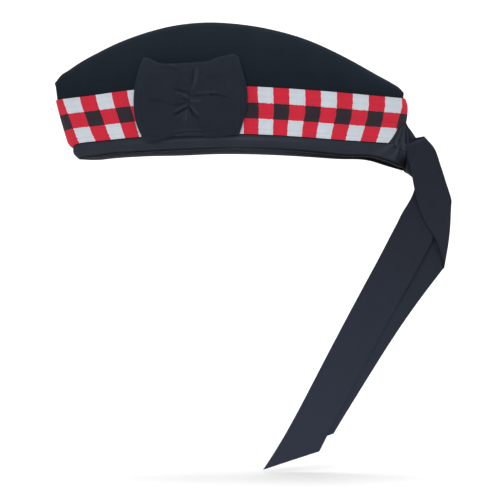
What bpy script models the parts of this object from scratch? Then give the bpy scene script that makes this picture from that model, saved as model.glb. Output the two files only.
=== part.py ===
# Glengarry: a folded felt cap with a diced band, a ribbon cockade and two ribbon tails.
# Metres, +Z up. The front of the cap points to -X, the back to +X, and the cockade side to -Y.
# The origin is the middle of the opening in the rim, where the head goes in.

from math import cos, pi, radians, sin

import bmesh
import bpy
import numpy as np

# Cloth thicknesses and the gap that sewn layers keep
FELT_WALL = 0.0020
BAND_WALL = 0.0010
RIBBON_WALL = 0.0010
LAYER_GAP = 0.0003

# The cap seen from its side: where each level of the side starts and ends along X
RIM_FRONT = -0.1348
RIM_BACK = 0.1378
BAND_FOOT_FRONT = -0.1432
BAND_FOOT_BACK = 0.1394
BAND_TOP_FRONT = -0.1535
BAND_TOP_BACK = 0.1386
RIDGE_FRONT = -0.1551
RIDGE_BACK = 0.1380

# Heights that stack up from the rim to the ridge
RIM_ARCH = 0.0050
BINDING_HEIGHT = 0.0105
BAND_HEIGHT = 0.0385
CROWN_RISE = 0.0545

# Widths of the cap seen from above
RIM_WIDTH = 0.0890
BAND_FOOT_WIDTH = 0.0910
BAND_TOP_WIDTH = 0.0940
RIDGE_SPREAD = 0.0360
NOSE_RADIUS = 0.0045
RIDGE_NOSE_RADIUS = 0.0009
CROWN_LEAN = 2.2
CROWN_LEVELS = (0.2, 0.4, 0.58, 0.74, 0.88, 1.0)
CREASE_DEPTH = 0.0320
CREASE_BLUNTNESS = 0.60
CREASE_LINES = 11
CREASE_LINE_SPREAD = 0.8
TIP_SINK = 0.0012
TIP_START = 0.022
TIP_END = 0.030

# Dice: the first full column starts this far behind the front edge, and each is one pitch long
DICE_ROWS = 3
DICE_COLUMNS = 21
DICE_PITCH_TOP = 0.01345
DICE_PITCH_FOOT = 0.01236
DICE_START_TOP = 0.0061
DICE_START_FOOT = 0.0097

# The slit at the back, under the top row of dice
SLIT_ROWS = 2
SLIT_HALF_TOP = 0.0018
SLIT_HALF_FOOT = 0.0050
SLIT_LEG_TOP = 0.0020
SLIT_LEG_FOOT = 0.0140
SLIT_RINGS = 7
SLIT_BINDING_FOOT = 0.01
SLIT_BINDING_HEAD = 0.02
SLIT_LEG_LINES = (0.4, 0.75)

# The seam that closes the back above the slit: a short step of level, where the band eases outward
SEAM_STEP = 0.03
SEAM_EASE = 0.0006
SEAM_EASE_START = 0.92
SEAM_EASE_RUN = 0.05

# Rim binding: how far its ends stop from the middle, and its lines as shares of its height
RIM_END_HALF = 0.0022
BINDING_TOP = 0.97
BINDING_MIDDLE = 0.45

# Cockade: a flat loop of wide ribbon
COCKADE_WIDTH = 0.0910
COCKADE_HEIGHT = 0.0660
COCKADE_FOOT = 0.0105
COCKADE_FRONT = -0.0848
COCKADE_PUFF = 0.0050
COCKADE_PINCH_SPREAD = 0.0150
COCKADE_PINCH_FLATTENING = 0.85
COCKADE_EDGE_ROUNDNESS = 0.35
COCKADE_CREASE_DEPTH = 0.0016
COCKADE_CREASE_WIDTH = 0.0034
COCKADE_CREASE_NARROWING = 0.6
COCKADE_ROWS = 13
COCKADE_FRONT_LINES = 23
COCKADE_BACK_LINES = 8
COCKADE_LAYER_INSET = 0.0012

# Ribbon tails and the knot that they leave from
RIBBON_WIDTH = 0.0325
KNOT_LENGTH = 0.0450
KNOT_THICKNESS = 0.0130
KNOT_TOP_BEHIND_SEAM = 0.0017
KNOT_TOP_HEIGHT = 0.0265
KNOT_TONGUE_END = 0.0010
KNOT_SWELL_RUN = 0.0040
KNOT_SIDES = 20
OVER_BEHIND_KNOT = 0.0083
OVER_BELOW_KNOT_TOP = 0.0142
NEAR_BEHIND_KNOT = 0.0165
NEAR_BELOW_KNOT_FOOT = 0.0004
TAIL_LAYER = 0.0030
OVER_LENGTH = 0.0807
OVER_STEPS = 15
FALL_LENGTH = 0.2150
FALL_STEPS = 27
NEAR_LENGTH = 0.2656
NEAR_STEPS = 30
RIBBON_LINES = 5
END_CUT = 0.0370
END_CUT_START = 0.72
END_CUT_BEND = 1.2

# Side of the cap, front to back. Shares: along the level, of RIM_ARCH, BINDING_HEIGHT, BAND_HEIGHT.
SIDE_COLUMNS = ("along", "rim", "binding", "band")
SIDE_SECTIONS = (
    (0.00, -0.54, 1.138, 0.955),
    (0.10, -0.12, 1.082, 0.967),
    (0.20, 0.28, 1.066, 0.992),
    (0.30, 0.48, 1.075, 1.010),
    (0.42, 0.80, 1.006, 1.015),
    (0.50, 0.82, 0.997, 1.017),
    (0.65, 0.50, 1.00, 1.014),
    (0.80, -0.14, 1.06, 1.022),
    (0.90, -0.56, 1.15, 1.010),
    (0.95, -1.30, 1.462, 1.003),
    (1.00, -2.10, 1.822, 0.995),
)

# Plain felt above the band, front to back: share of CROWN_RISE at each share along the ridge
RIDGE_COLUMNS = ("along", "rise")
RIDGE_SECTIONS = (
    (0.00, 0.26),
    (0.02, 0.374),
    (0.04, 0.432),
    (0.07, 0.525),
    (0.14, 0.687),
    (0.24, 0.857),
    (0.34, 0.970),
    (0.43, 1.008),
    (0.52, 0.988),
    (0.62, 0.926),
    (0.72, 0.803),
    (0.84, 0.551),
    (0.92, 0.344),
    (0.97, 0.207),
    (1.00, 0.03),
)

# Outline of the cockade from its foot up: shares of COCKADE_WIDTH at the front and back edges
COCKADE_COLUMNS = ("up", "front", "back")
COCKADE_EDGES = (
    (0.00, 0.070, 0.925),
    (0.20, 0.012, 0.965),
    (0.40, -0.010, 0.995),
    (0.62, -0.004, 0.990),
    (0.82, 0.028, 0.955),
    (1.00, 0.072, 0.918),
)

# Foot and head of the cockade from front to back: shares of COCKADE_HEIGHT
COCKADE_RIM_COLUMNS = ("across", "foot", "head")
COCKADE_RIMS = (
    (0.00, 0.020, 0.990),
    (0.08, -0.010, 0.962),
    (0.18, 0.004, 0.905),
    (0.30, 0.030, 0.888),
    (0.45, 0.033, 0.896),
    (0.60, 0.033, 0.904),
    (0.70, 0.033, 0.918),
    (0.78, 0.038, 0.955),
    (0.88, 0.052, 0.980),
    (0.95, 0.060, 1.000),
    (1.00, 0.060, 0.990),
)

# Gathers that run out from the pinch: direction in degrees, depth and reach as shares
PINCH_COLUMNS = ("direction", "depth", "reach")
PINCH_FOLDS = (
    (78.0, 1.00, 0.90),
    (8.0, 0.90, 0.95),
    (-38.0, 0.80, 0.55),
    (-95.0, 0.60, 0.60),
    (-150.0, 0.90, 0.60),
    (176.0, 0.70, 0.85),
    (128.0, 0.45, 0.60),
)
PINCH_AT = (0.465, 0.420)

# Knot, from its top in the slit down: shares of KNOT_LENGTH below the top and to its front and back,
# then of KNOT_THICKNESS for the thin tongue inside the slit and for the gathers behind it
KNOT_COLUMNS = ("below", "front", "back", "tongue", "thick")
KNOT_SECTIONS = (
    (0.000, -0.009, 0.009, 0.10, 0.10),
    (0.067, -0.022, 0.040, 0.13, 0.15),
    (0.122, -0.038, 0.085, 0.17, 0.26),
    (0.280, -0.060, 0.190, 0.22, 0.52),
    (0.398, -0.067, 0.256, 0.25, 0.74),
    (0.700, -0.067, 0.333, 0.25, 1.00),
    (0.851, -0.067, 0.328, 0.25, 0.90),
    (0.870, -0.060, 0.324, 0.30, 0.86),
    (0.907, -0.035, 0.311, 0.40, 0.75),
    (0.942, 0.033, 0.290, 0.45, 0.62),
    (1.000, 0.107, 0.244, 0.30, 0.35),
)
KNOT_PLEATS = 6
KNOT_PLEAT_SHARE = 0.07

# Ribbons: run along the ribbon, heading and row direction in degrees from straight down
# (+ towards the back of the cap), depth as a share of TAIL_LAYER, then width and the bow of the row
# as shares of RIBBON_WIDTH
RIBBON_COLUMNS = ("run", "heading", "row", "depth", "width", "bow")
TAIL_OVER = (
    (0.00, 23.0, 100.0, -1.75, 0.433, 0.00),
    (0.05, 21.4, 98.7, -2.25, 0.533, 0.00),
    (0.12, 19.0, 99.3, -2.36, 0.678, 0.00),
    (0.30, 15.6, 93.4, -2.34, 0.765, 0.00),
    (0.50, 14.5, 105.6, -1.60, 0.834, 0.00),
    (0.78, 24.6, 139.3, -1.10, 0.856, 0.01),
    (0.94, 24.6, 165.3, -0.90, 0.766, 0.04),
    (1.00, 26.3, 174.7, -0.05, 0.907, 0.05),
)
TAIL_FALL = (
    (0.00, -36.4, 174.7, -0.05, 0.907, 0.05),
    (0.02, -33.1, 179.3, 0.80, 0.903, 0.045),
    (0.07, -34.5, 191.4, 1.05, 0.919, 0.03),
    (0.22, -37.6, 226.1, 1.10, 0.922, 0.00),
    (0.36, -36.1, 231.9, 1.00, 0.938, 0.00),
    (0.60, -32.9, 239.1, 0.85, 1.007, 0.00),
    (1.00, -29.3, 241.0, 0.70, 1.000, 0.00),
)
TAIL_NEAR = (
    (0.000, 5.9, 90.0, 0.00, 0.456, 0.00),
    (0.055, -5.1, 84.0, 0.00, 0.671, 0.00),
    (0.120, -19.0, 79.0, 0.00, 0.963, 0.00),
    (0.180, -25.6, 66.0, 0.00, 1.008, 0.00),
    (0.300, -28.1, 62.0, 0.00, 1.006, 0.00),
    (0.600, -28.0, 61.8, 0.00, 0.985, 0.00),
    (0.900, -28.9, 60.7, 0.00, 0.968, 0.00),
    (1.000, -31.5, 60.2, 0.00, 0.993, 0.00),
)


def column(rows, columns, name):
    # One named column of a table of sections
    return np.array([row[columns.index(name)] for row in rows], dtype=float)


def smooth(rows, columns, name, at):
    # The named column at the shares `at`, on a smooth curve through the rows
    knots = column(rows, columns, columns[0])
    values = column(rows, columns, name)
    slopes = np.gradient(values, knots)
    at = np.clip(np.asarray(at, dtype=float), knots[0], knots[-1])
    span = np.clip(np.searchsorted(knots, at, side="right") - 1, 0, len(knots) - 2)
    width = knots[span + 1] - knots[span]
    t = (at - knots[span]) / width
    start = (2.0 * t ** 3 - 3.0 * t ** 2 + 1.0) * values[span]
    end = (3.0 * t ** 2 - 2.0 * t ** 3) * values[span + 1]
    leave = (t ** 3 - 2.0 * t ** 2 + t) * slopes[span] * width
    arrive = (t ** 3 - t ** 2) * slopes[span + 1] * width
    return start + end + leave + arrive


# Levels on the side of the cap: 0 the rim, 1 the foot of the band, 2 its top, 3 the ridge
RIM, BAND_FOOT, BAND_TOP, RIDGE = 0.0, 1.0, 2.0, 3.0
SLIT_TOP = BAND_FOOT + SLIT_ROWS / DICE_ROWS
LEVEL_FRONTS = (RIM_FRONT, BAND_FOOT_FRONT, BAND_TOP_FRONT, RIDGE_FRONT)
LEVEL_BACKS = (RIM_BACK, BAND_FOOT_BACK, BAND_TOP_BACK, RIDGE_BACK)
LEVEL_NUMBERS = (RIM, BAND_FOOT, BAND_TOP, RIDGE)


def level_front(level):
    return np.interp(level, LEVEL_NUMBERS, LEVEL_FRONTS)


def level_back(level):
    return np.interp(level, LEVEL_NUMBERS, LEVEL_BACKS)


def level_height(share, level):
    # Height of the side at a share of the way from front to back
    rim = RIM_ARCH * smooth(SIDE_SECTIONS, SIDE_COLUMNS, "rim", share)
    foot = rim + BINDING_HEIGHT * smooth(SIDE_SECTIONS, SIDE_COLUMNS, "binding", share)
    top = foot + BAND_HEIGHT * smooth(SIDE_SECTIONS, SIDE_COLUMNS, "band", share)
    ridge = top + CROWN_RISE * smooth(RIDGE_SECTIONS, RIDGE_COLUMNS, "rise", share)
    low = rim + (foot - rim) * level
    middle = foot + (top - foot) * (level - BAND_FOOT)
    high = top + (ridge - top) * (level - BAND_TOP)
    return np.where(level < BAND_FOOT, low, np.where(level < BAND_TOP, middle, high))


def boat(turn, width, length, nose=NOSE_RADIUS):
    # Half width of a boat-shaped outline whose bow has this radius; odd in turn, so - is the right side
    half = width / 2.0
    pull = nose * length / 2.0
    blunt = pull / max(half * half - pull, 0.02 * half * half)
    wave = np.sin(turn)
    return half * wave * np.sqrt((wave * wave + blunt) / (1.0 + blunt))


def side_point(turn, level):
    # Outer face of the felt. turn runs from 0 at the front seam to pi at the back, and - on the right.
    share = (1.0 - np.cos(turn)) / 2.0
    front = level_front(level)
    back = level_back(level)
    x = front + (back - front) * share
    z = level_height(share, level)
    rim = boat(turn, RIM_WIDTH, RIM_BACK - RIM_FRONT)
    foot = boat(turn, BAND_FOOT_WIDTH, BAND_FOOT_BACK - BAND_FOOT_FRONT)
    top = boat(turn, BAND_TOP_WIDTH, BAND_TOP_BACK - BAND_TOP_FRONT)
    ridge = boat(turn, RIDGE_SPREAD, RIDGE_BACK - RIDGE_FRONT, RIDGE_NOSE_RADIUS)
    low = rim + (foot - rim) * level
    middle = foot + (top - foot) * (level - BAND_FOOT)
    lean = np.clip(level - BAND_TOP, 0.0, 1.0) ** CROWN_LEAN
    high = top + (ridge - top) * lean
    half = np.where(level < BAND_FOOT, low, np.where(level < BAND_TOP, middle, high))
    return np.stack((x, -half, z), axis=-1)


def unit(vectors):
    return vectors / np.linalg.norm(vectors, axis=-1, keepdims=True)


def cap_point(turn, level, lift=0.0, climb=0.0):
    # A point lifted off the felt's outer face along its normal, and moved up the side by climb
    turn, level, lift, climb = np.broadcast_arrays(
        np.asarray(turn, float), np.asarray(level, float), np.asarray(lift, float), np.asarray(climb, float)
    )
    step = 0.0005
    below = np.clip(level - step, RIM, RIDGE - 2.0 * step)
    around = unit(side_point(turn + step, level) - side_point(turn - step, level))
    up = unit(side_point(turn, below + 2.0 * step) - side_point(turn, below))
    out = unit(np.cross(around, up))
    return side_point(turn, level) + out * lift[..., None] + up * climb[..., None]


def turn_at(share):
    return np.arccos(np.clip(1.0 - 2.0 * np.asarray(share, float), -1.0, 1.0))


def share_of_half(half, level):
    # Share along the level, near the back, where the side is this far from the middle plane
    turns = np.linspace(pi / 2.0, pi, 400)
    widths = -side_point(turns, np.full_like(turns, level))[:, 1]
    turn = np.interp(-half, -widths, turns)
    return (1.0 - cos(turn)) / 2.0


def column_share(number, level):
    # Share along a level where a column of dice starts; the columns lean, so it changes with level
    foot_length = BAND_FOOT_BACK - BAND_FOOT_FRONT
    top_length = BAND_TOP_BACK - BAND_TOP_FRONT
    foot = (DICE_START_FOOT + DICE_PITCH_FOOT * number) / foot_length
    top = (DICE_START_TOP + DICE_PITCH_TOP * number) / top_length
    return foot + (top - foot) * (min(level, BAND_TOP) - BAND_FOOT)


BOW_LINES = 3
STERN_LINES = 4


def side_lines(level, end_share):
    # Shares of the lines that all layers of the side share: round the bow, each column, the stern
    first = column_share(0, level)
    last = column_share(DICE_COLUMNS, level)
    last = min(last, end_share - 0.002)
    bow = [first * (i / BOW_LINES) ** 2 for i in range(BOW_LINES)]
    columns = [min(column_share(i, level), last) for i in range(DICE_COLUMNS)] + [last]
    stern = [end_share - (end_share - last) * (1.0 - (i + 1) / STERN_LINES) ** 2 for i in range(STERN_LINES)]
    return np.array(bow + columns + stern)


def slit_share(level):
    # Where the felt ends at the back: at the seam above the slit, at the slit's edge below its top
    if level > SLIT_TOP + SEAM_STEP / 2.0:
        return 1.0
    climb = (min(max(level, BAND_FOOT), SLIT_TOP) - BAND_FOOT) / (SLIT_TOP - BAND_FOOT)
    half = SLIT_HALF_FOOT + (SLIT_HALF_TOP - SLIT_HALF_FOOT) * climb
    return share_of_half(half, level)


def band_end_share(level):
    # The band stops where the slit's binding starts
    if level > SLIT_TOP + SEAM_STEP / 2.0:
        return 1.0
    climb = (max(level, BAND_FOOT) - BAND_FOOT) / (SLIT_TOP - BAND_FOOT)
    leg = SLIT_LEG_FOOT + (SLIT_LEG_TOP - SLIT_LEG_FOOT) * climb
    return slit_share(level) - leg / (BAND_FOOT_BACK - BAND_FOOT_FRONT)


def new_material(name, colour, roughness):
    material = bpy.data.materials.new(name)
    material.use_nodes = True
    shader = material.node_tree.nodes["Principled BSDF"]
    shader.inputs["Base Color"].default_value = (*colour, 1.0)
    shader.inputs["Roughness"].default_value = roughness
    shader.inputs["Metallic"].default_value = 0.0
    material.diffuse_color = (*colour, 1.0)
    return material


def add_object(name, vertices, faces, materials, collection, face_materials=None):
    mesh = bpy.data.meshes.new(name)
    mesh.from_pydata([tuple(map(float, point)) for point in vertices], [], faces)
    for material in materials:
        mesh.materials.append(material)
    if face_materials is not None:
        for polygon, index in zip(mesh.polygons, face_materials):
            polygon.material_index = index
    body = bmesh.new()
    body.from_mesh(mesh)
    bmesh.ops.remove_doubles(body, verts=body.verts, dist=0.000001)
    bmesh.ops.recalc_face_normals(body, faces=body.faces)
    body.to_mesh(mesh)
    body.free()
    mesh.shade_smooth()
    mesh.set_sharp_from_angle(angle=radians(40.0))
    made = bpy.data.objects.new(name, mesh)
    collection.objects.link(made)
    return made


def wall_between(outer, inner):
    # A closed wall between two grids of the same size: both faces and the four edges
    rows, across = outer.shape[:2]
    size = rows * across
    vertices = np.concatenate((outer.reshape(-1, 3), inner.reshape(-1, 3)))
    faces = []
    for i in range(rows - 1):
        for j in range(across - 1):
            a = i * across + j
            b = a + across
            faces.append((a, a + 1, b + 1, b))
            faces.append((size + a, size + b, size + b + 1, size + a + 1))
    for i in range(rows - 1):
        for j in (0, across - 1):
            a = i * across + j
            b = a + across
            faces.append((a, b, size + b, size + a))
    for j in range(across - 1):
        for i in (0, rows - 1):
            a = i * across + j
            faces.append((a, a + 1, size + a + 1, size + a))
    return vertices, faces


def loft(rings):
    # A closed body through closed rings, capped at both ends
    count, around = rings.shape[:2]
    faces = []
    for i in range(count - 1):
        for j in range(around):
            a = i * around + j
            b = i * around + (j + 1) % around
            faces.append((a, b, b + around, a + around))
    faces.append(tuple(range(around)))
    faces.append(tuple(reversed(range((count - 1) * around, count * around))))
    return rings.reshape(-1, 3), faces


def keep_side(points, side):
    # Points of a left or right piece stay clear of the middle plane; side is 1 left, -1 right
    kept = points.copy()
    half_gap = LAYER_GAP / 2.0
    if side > 0:
        kept[..., 1] = np.minimum(kept[..., 1], -half_gap)
    else:
        kept[..., 1] = np.maximum(kept[..., 1], half_gap)
    return kept


def build_side_panel(name, side, felt, collection):
    # Felt panel from the rim to the ridge, from the front seam to the back seam and the slit
    levels = [RIM, BAND_FOOT, SLIT_TOP, SLIT_TOP + SEAM_STEP, BAND_TOP]
    levels += [BAND_TOP + share for share in CROWN_LEVELS]
    outer = []
    inner = []
    for level in levels:
        turns = side * turn_at(side_lines(level, slit_share(level)))
        outer.append(cap_point(turns, level))
        inner.append(cap_point(turns, level, lift=-FELT_WALL))
    vertices, faces = wall_between(keep_side(np.array(outer), side), keep_side(np.array(inner), side))
    return add_object(name, vertices, faces, [felt], collection)


def build_crown_top(felt, collection):
    # Leaf-shaped panel between the ridges, folded down lengthwise; its underside sits inside the ridges
    shares = side_lines(RIDGE, 1.0)
    turns = turn_at(shares[(shares > TIP_START) & (shares < 1.0 - TIP_END)])
    inside = -(FELT_WALL + LAYER_GAP)
    share = (1.0 - np.cos(turns)) / 2.0
    rise = CROWN_RISE * smooth(RIDGE_SECTIONS, RIDGE_COLUMNS, "rise", share)
    edge = cap_point(turns, RIDGE - (TIP_SINK + FELT_WALL) / rise, lift=inside)
    brim = cap_point(turns, RIDGE - TIP_SINK / rise, lift=inside)
    across = np.linspace(-1.0, 1.0, CREASE_LINES)
    across = np.sign(across) * np.abs(across) ** CREASE_LINE_SPREAD
    valley = np.sqrt(across ** 2 + CREASE_BLUNTNESS ** 2) - CREASE_BLUNTNESS
    valley = valley / (np.sqrt(1.0 + CREASE_BLUNTNESS ** 2) - CREASE_BLUNTNESS)
    depth = CREASE_DEPTH * (edge[:, 1] / edge[:, 1].min()) ** 2
    under = np.empty((len(turns), len(across), 3))
    under[..., 0] = edge[:, 0][:, None]
    under[..., 1] = edge[:, 1][:, None] * -across[None, :]
    under[..., 2] = edge[:, 2][:, None] - depth[:, None] * (1.0 - valley[None, :])
    along = np.gradient(under, axis=0)
    over = np.gradient(under, axis=1)
    normal = unit(np.cross(over, along))
    normal[normal[..., 2] < 0.0] *= -1.0
    upper = under + normal * FELT_WALL
    upper[..., 1] = np.clip(upper[..., 1], brim[:, 1][:, None], -brim[:, 1][:, None])
    vertices, faces = wall_between(under, upper)
    return add_object("crown_top", vertices, faces, [felt], collection)


def build_band(dice, collection):
    # Diced band round the front, from one side of the slit to the other, one face to a die
    rows = [BAND_FOOT + i / DICE_ROWS for i in range(DICE_ROWS + 1)]
    rows.insert(SLIT_ROWS + 1, SLIT_TOP + SEAM_STEP)
    outer = []
    inner = []
    for number, level in enumerate(rows):
        half = turn_at(side_lines(level, band_end_share(level)))
        turns = np.concatenate((-half[::-1], half[1:]))
        climb = LAYER_GAP if number == 0 else 0.0
        share = (1.0 - np.cos(turns)) / 2.0
        at_seam = 1.0 if number in (SLIT_ROWS, SLIT_ROWS + 1) else 0.0
        ease = at_seam * SEAM_EASE * np.clip((share - SEAM_EASE_START) / SEAM_EASE_RUN, 0.0, 1.0)
        outer.append(cap_point(turns, level, LAYER_GAP + ease + BAND_WALL, climb))
        inner.append(cap_point(turns, level, LAYER_GAP + ease, climb))
    outer = np.array(outer)
    inner = np.array(inner)
    half_gap = LAYER_GAP / 2.0
    for grid in (outer, inner):
        grid[:, 0, 1] = np.maximum(grid[:, 0, 1], half_gap)
        grid[:, -1, 1] = np.minimum(grid[:, -1, 1], -half_gap)
    vertices, faces = wall_between(outer, inner)
    lines = len(outer[0])
    middle = lines // 2
    colours = []
    for i in range(len(rows) - 1):
        dice_row = int((rows[i] + rows[i + 1] - 2.0 * BAND_FOOT) / 2.0 * DICE_ROWS)
        for j in range(lines - 1):
            step = j - middle if j >= middle else middle - 1 - j
            dice_column = max(step - BOW_LINES + 1, 0)
            if dice_column > DICE_COLUMNS:
                dice_column = DICE_COLUMNS + 1
            centre = dice_row == DICE_ROWS // 2
            red_column = dice_column % 2 == 0
            colour = (2 if centre else 0) if red_column else (0 if centre else 1)
            colours += [colour, colour]
    colours += [0] * (len(faces) - len(colours))
    return add_object("diced_band", vertices, faces, dice, collection, colours)


def build_rim_binding(ribbon, collection):
    # Ribbon folded over the lower edge of the felt, all the way round to the slit
    near = LAYER_GAP
    far = LAYER_GAP + RIBBON_WALL
    back = -(FELT_WALL + LAYER_GAP)
    behind = back - RIBBON_WALL
    top = BINDING_TOP
    middle = BINDING_MIDDLE
    section = (
        (top, far, 0.0),
        (middle, far, 0.0),
        (RIM, far, -near),
        (RIM, near, -far),
        (RIM, back, -far),
        (RIM, behind, -near),
        (middle, behind, 0.0),
        (top, behind, 0.0),
        (top, back, 0.0),
        (middle, back, 0.0),
        (RIM, back, -near),
        (RIM, near, -near),
        (middle, near, 0.0),
        (top, near, 0.0),
    )
    rings = []
    for level, lift, climb in section:
        end = share_of_half(RIM_END_HALF, level)
        half = turn_at(side_lines(level, end))
        turns = np.concatenate((-half[::-1], half[1:]))
        rings.append(cap_point(turns, level, lift, climb))
    vertices, faces = loft(np.swapaxes(np.array(rings), 0, 1))
    return add_object("rim_binding", vertices, faces, [ribbon], collection)


def build_slit_binding(name, side, ribbon, collection):
    # Ribbon folded over one edge of the slit, from the foot of the band up to the slit's top
    near = LAYER_GAP
    far = LAYER_GAP + RIBBON_WALL
    back = -(FELT_WALL + LAYER_GAP)
    behind = back - RIBBON_WALL
    length = BAND_FOOT_BACK - BAND_FOOT_FRONT
    rings = []
    for level in np.linspace(BAND_FOOT + SLIT_BINDING_FOOT, SLIT_TOP - SLIT_BINDING_HEAD, SLIT_RINGS):
        start = band_end_share(level) + 2.0 * LAYER_GAP / length
        edge = slit_share(level)
        first, second = [start + (edge - start) * share for share in SLIT_LEG_LINES]
        climb = (level - BAND_FOOT) / (SLIT_TOP - BAND_FOOT)
        edge_half = SLIT_HALF_FOOT + (SLIT_HALF_TOP - SLIT_HALF_FOOT) * climb
        clear = share_of_half(edge_half - near, level)
        reach = share_of_half(max(edge_half - far, LAYER_GAP / 2.0), level)
        shares = [start, first, second, edge, reach, reach, edge, second, first, start]
        lifts = [far, far, far, far, near, back, behind, behind, behind, behind]
        shares += [start, first, second, clear, clear, second, first, start]
        lifts += [back, back, back, back, near, near, near, near]
        turns = side * turn_at(np.array(shares))
        rings.append(keep_side(cap_point(turns, level, np.array(lifts)), side))
    vertices, faces = loft(np.array(rings))
    return add_object(name, vertices, faces, [ribbon], collection)


def seen_from_side(x, z):
    # Turn and level of the felt's point that shows at x, z from the left side
    level = np.full_like(x, BAND_FOOT + 0.5)
    for _ in range(12):
        front = level_front(level)
        share = np.clip((x - front) / (level_back(level) - front), 0.0, 1.0)
        foot = level_height(share, np.full_like(x, BAND_FOOT))
        top = level_height(share, np.full_like(x, BAND_TOP))
        ridge = level_height(share, np.full_like(x, RIDGE))
        rim = level_height(share, np.full_like(x, RIM))
        low = (z - rim) / (foot - rim)
        middle = BAND_FOOT + (z - foot) / (top - foot)
        high = BAND_TOP + (z - top) / (ridge - top)
        level = np.where(z < foot, low, np.where(z < top, middle, high))
        level = np.clip(level, RIM, RIDGE)
    return turn_at(share), level


def build_cockade(ribbon, collection):
    # Flat loop of wide ribbon lying on the band: a back layer on the cap and a gathered front layer
    seat = 2.0 * LAYER_GAP + BAND_WALL
    wall = RIBBON_WALL
    front_steps = np.linspace(0.0, 1.0, COCKADE_FRONT_LINES)
    back_steps = np.linspace(1.0, 0.0, COCKADE_BACK_LINES)
    inset = COCKADE_LAYER_INSET / COCKADE_WIDTH

    def ribbon_points(across, up, lift):
        # Points by shares across and up the cockade's own outline
        front = smooth(COCKADE_EDGES, COCKADE_COLUMNS, "front", up) * COCKADE_WIDTH
        back = smooth(COCKADE_EDGES, COCKADE_COLUMNS, "back", up) * COCKADE_WIDTH
        foot = smooth(COCKADE_RIMS, COCKADE_RIM_COLUMNS, "foot", across) * COCKADE_HEIGHT
        head = smooth(COCKADE_RIMS, COCKADE_RIM_COLUMNS, "head", across) * COCKADE_HEIGHT
        x = COCKADE_FRONT + front + (back - front) * across
        z = COCKADE_FOOT + foot + (head - foot) * up
        turn, level = seen_from_side(x, z)
        return cap_point(turn, level, lift)

    def puff(across, up):
        # How far the front layer stands off the back one: full lobes, flat at the pinch and the edges
        dx = (across - PINCH_AT[0]) * COCKADE_WIDTH
        dz = (up - PINCH_AT[1]) * COCKADE_HEIGHT
        away = np.hypot(dx, dz)
        lobe = 1.0 - COCKADE_PINCH_FLATTENING * np.exp(-(away / COCKADE_PINCH_SPREAD) ** 2)
        ends = np.clip(4.0 * across * (1.0 - across), 0.0, 1.0) ** COCKADE_EDGE_ROUNDNESS
        high = COCKADE_PUFF * lobe * ends
        for direction, depth, reach in PINCH_FOLDS:
            ray_x = cos(radians(direction))
            ray_z = sin(radians(direction))
            along = dx * ray_x + dz * ray_z
            off = dz * ray_x - dx * ray_z
            length = reach * COCKADE_WIDTH / 2.0
            fade = np.clip(along / length, 0.0, 1.0)
            reach_width = COCKADE_CREASE_WIDTH * (COCKADE_CREASE_NARROWING + fade)
            bump = np.sin(pi * fade) * np.exp(-(off / reach_width) ** 2)
            high = high - COCKADE_CREASE_DEPTH * depth * bump * ends
        return np.maximum(high, 0.0)

    rings_out = []
    rings_in = []
    for up in np.linspace(0.0, 1.0, COCKADE_ROWS):
        ups_front = np.full_like(front_steps, up)
        ups_back = np.full_like(back_steps, up)
        rise = puff(front_steps, ups_front)
        inner_front = inset + (1.0 - 2.0 * inset) * front_steps
        inner_back = inset + (1.0 - 2.0 * inset) * back_steps
        outer_front = seat + 2.0 * wall + LAYER_GAP + rise
        rings_out.append(np.concatenate((
            ribbon_points(front_steps, ups_front, outer_front),
            ribbon_points(back_steps, ups_back, np.full_like(back_steps, seat)),
        )))
        rings_in.append(np.concatenate((
            ribbon_points(inner_front, ups_front, outer_front - wall),
            ribbon_points(inner_back, ups_back, np.full_like(back_steps, seat + wall)),
        )))
    out = np.array(rings_out)
    into = np.array(rings_in)
    rows, around = out.shape[:2]
    size = rows * around
    faces = []
    for i in range(rows):
        for j in range(around):
            a = i * around + j
            b = i * around + (j + 1) % around
            if i < rows - 1:
                faces.append((a, b, b + around, a + around))
                faces.append((size + a, size + a + around, size + b + around, size + b))
            if i in (0, rows - 1):
                faces.append((a, b, size + b, size + a))
    vertices = np.concatenate((out.reshape(-1, 3), into.reshape(-1, 3)))
    return add_object("cockade_bow", vertices, faces, [ribbon], collection)


# The knot's top, just behind the back seam, and where the middle of each ribbon starts: X and Z
KNOT_TOP = np.array((RIM_BACK + KNOT_TOP_BEHIND_SEAM, 0.0, KNOT_TOP_HEIGHT))
TAIL_TOP = (KNOT_TOP[0] + OVER_BEHIND_KNOT, KNOT_TOP[2] - OVER_BELOW_KNOT_TOP)
TAIL_NEAR_TOP = (KNOT_TOP[0] + NEAR_BEHIND_KNOT, KNOT_TOP[2] - KNOT_LENGTH - NEAR_BELOW_KNOT_FOOT)


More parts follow.
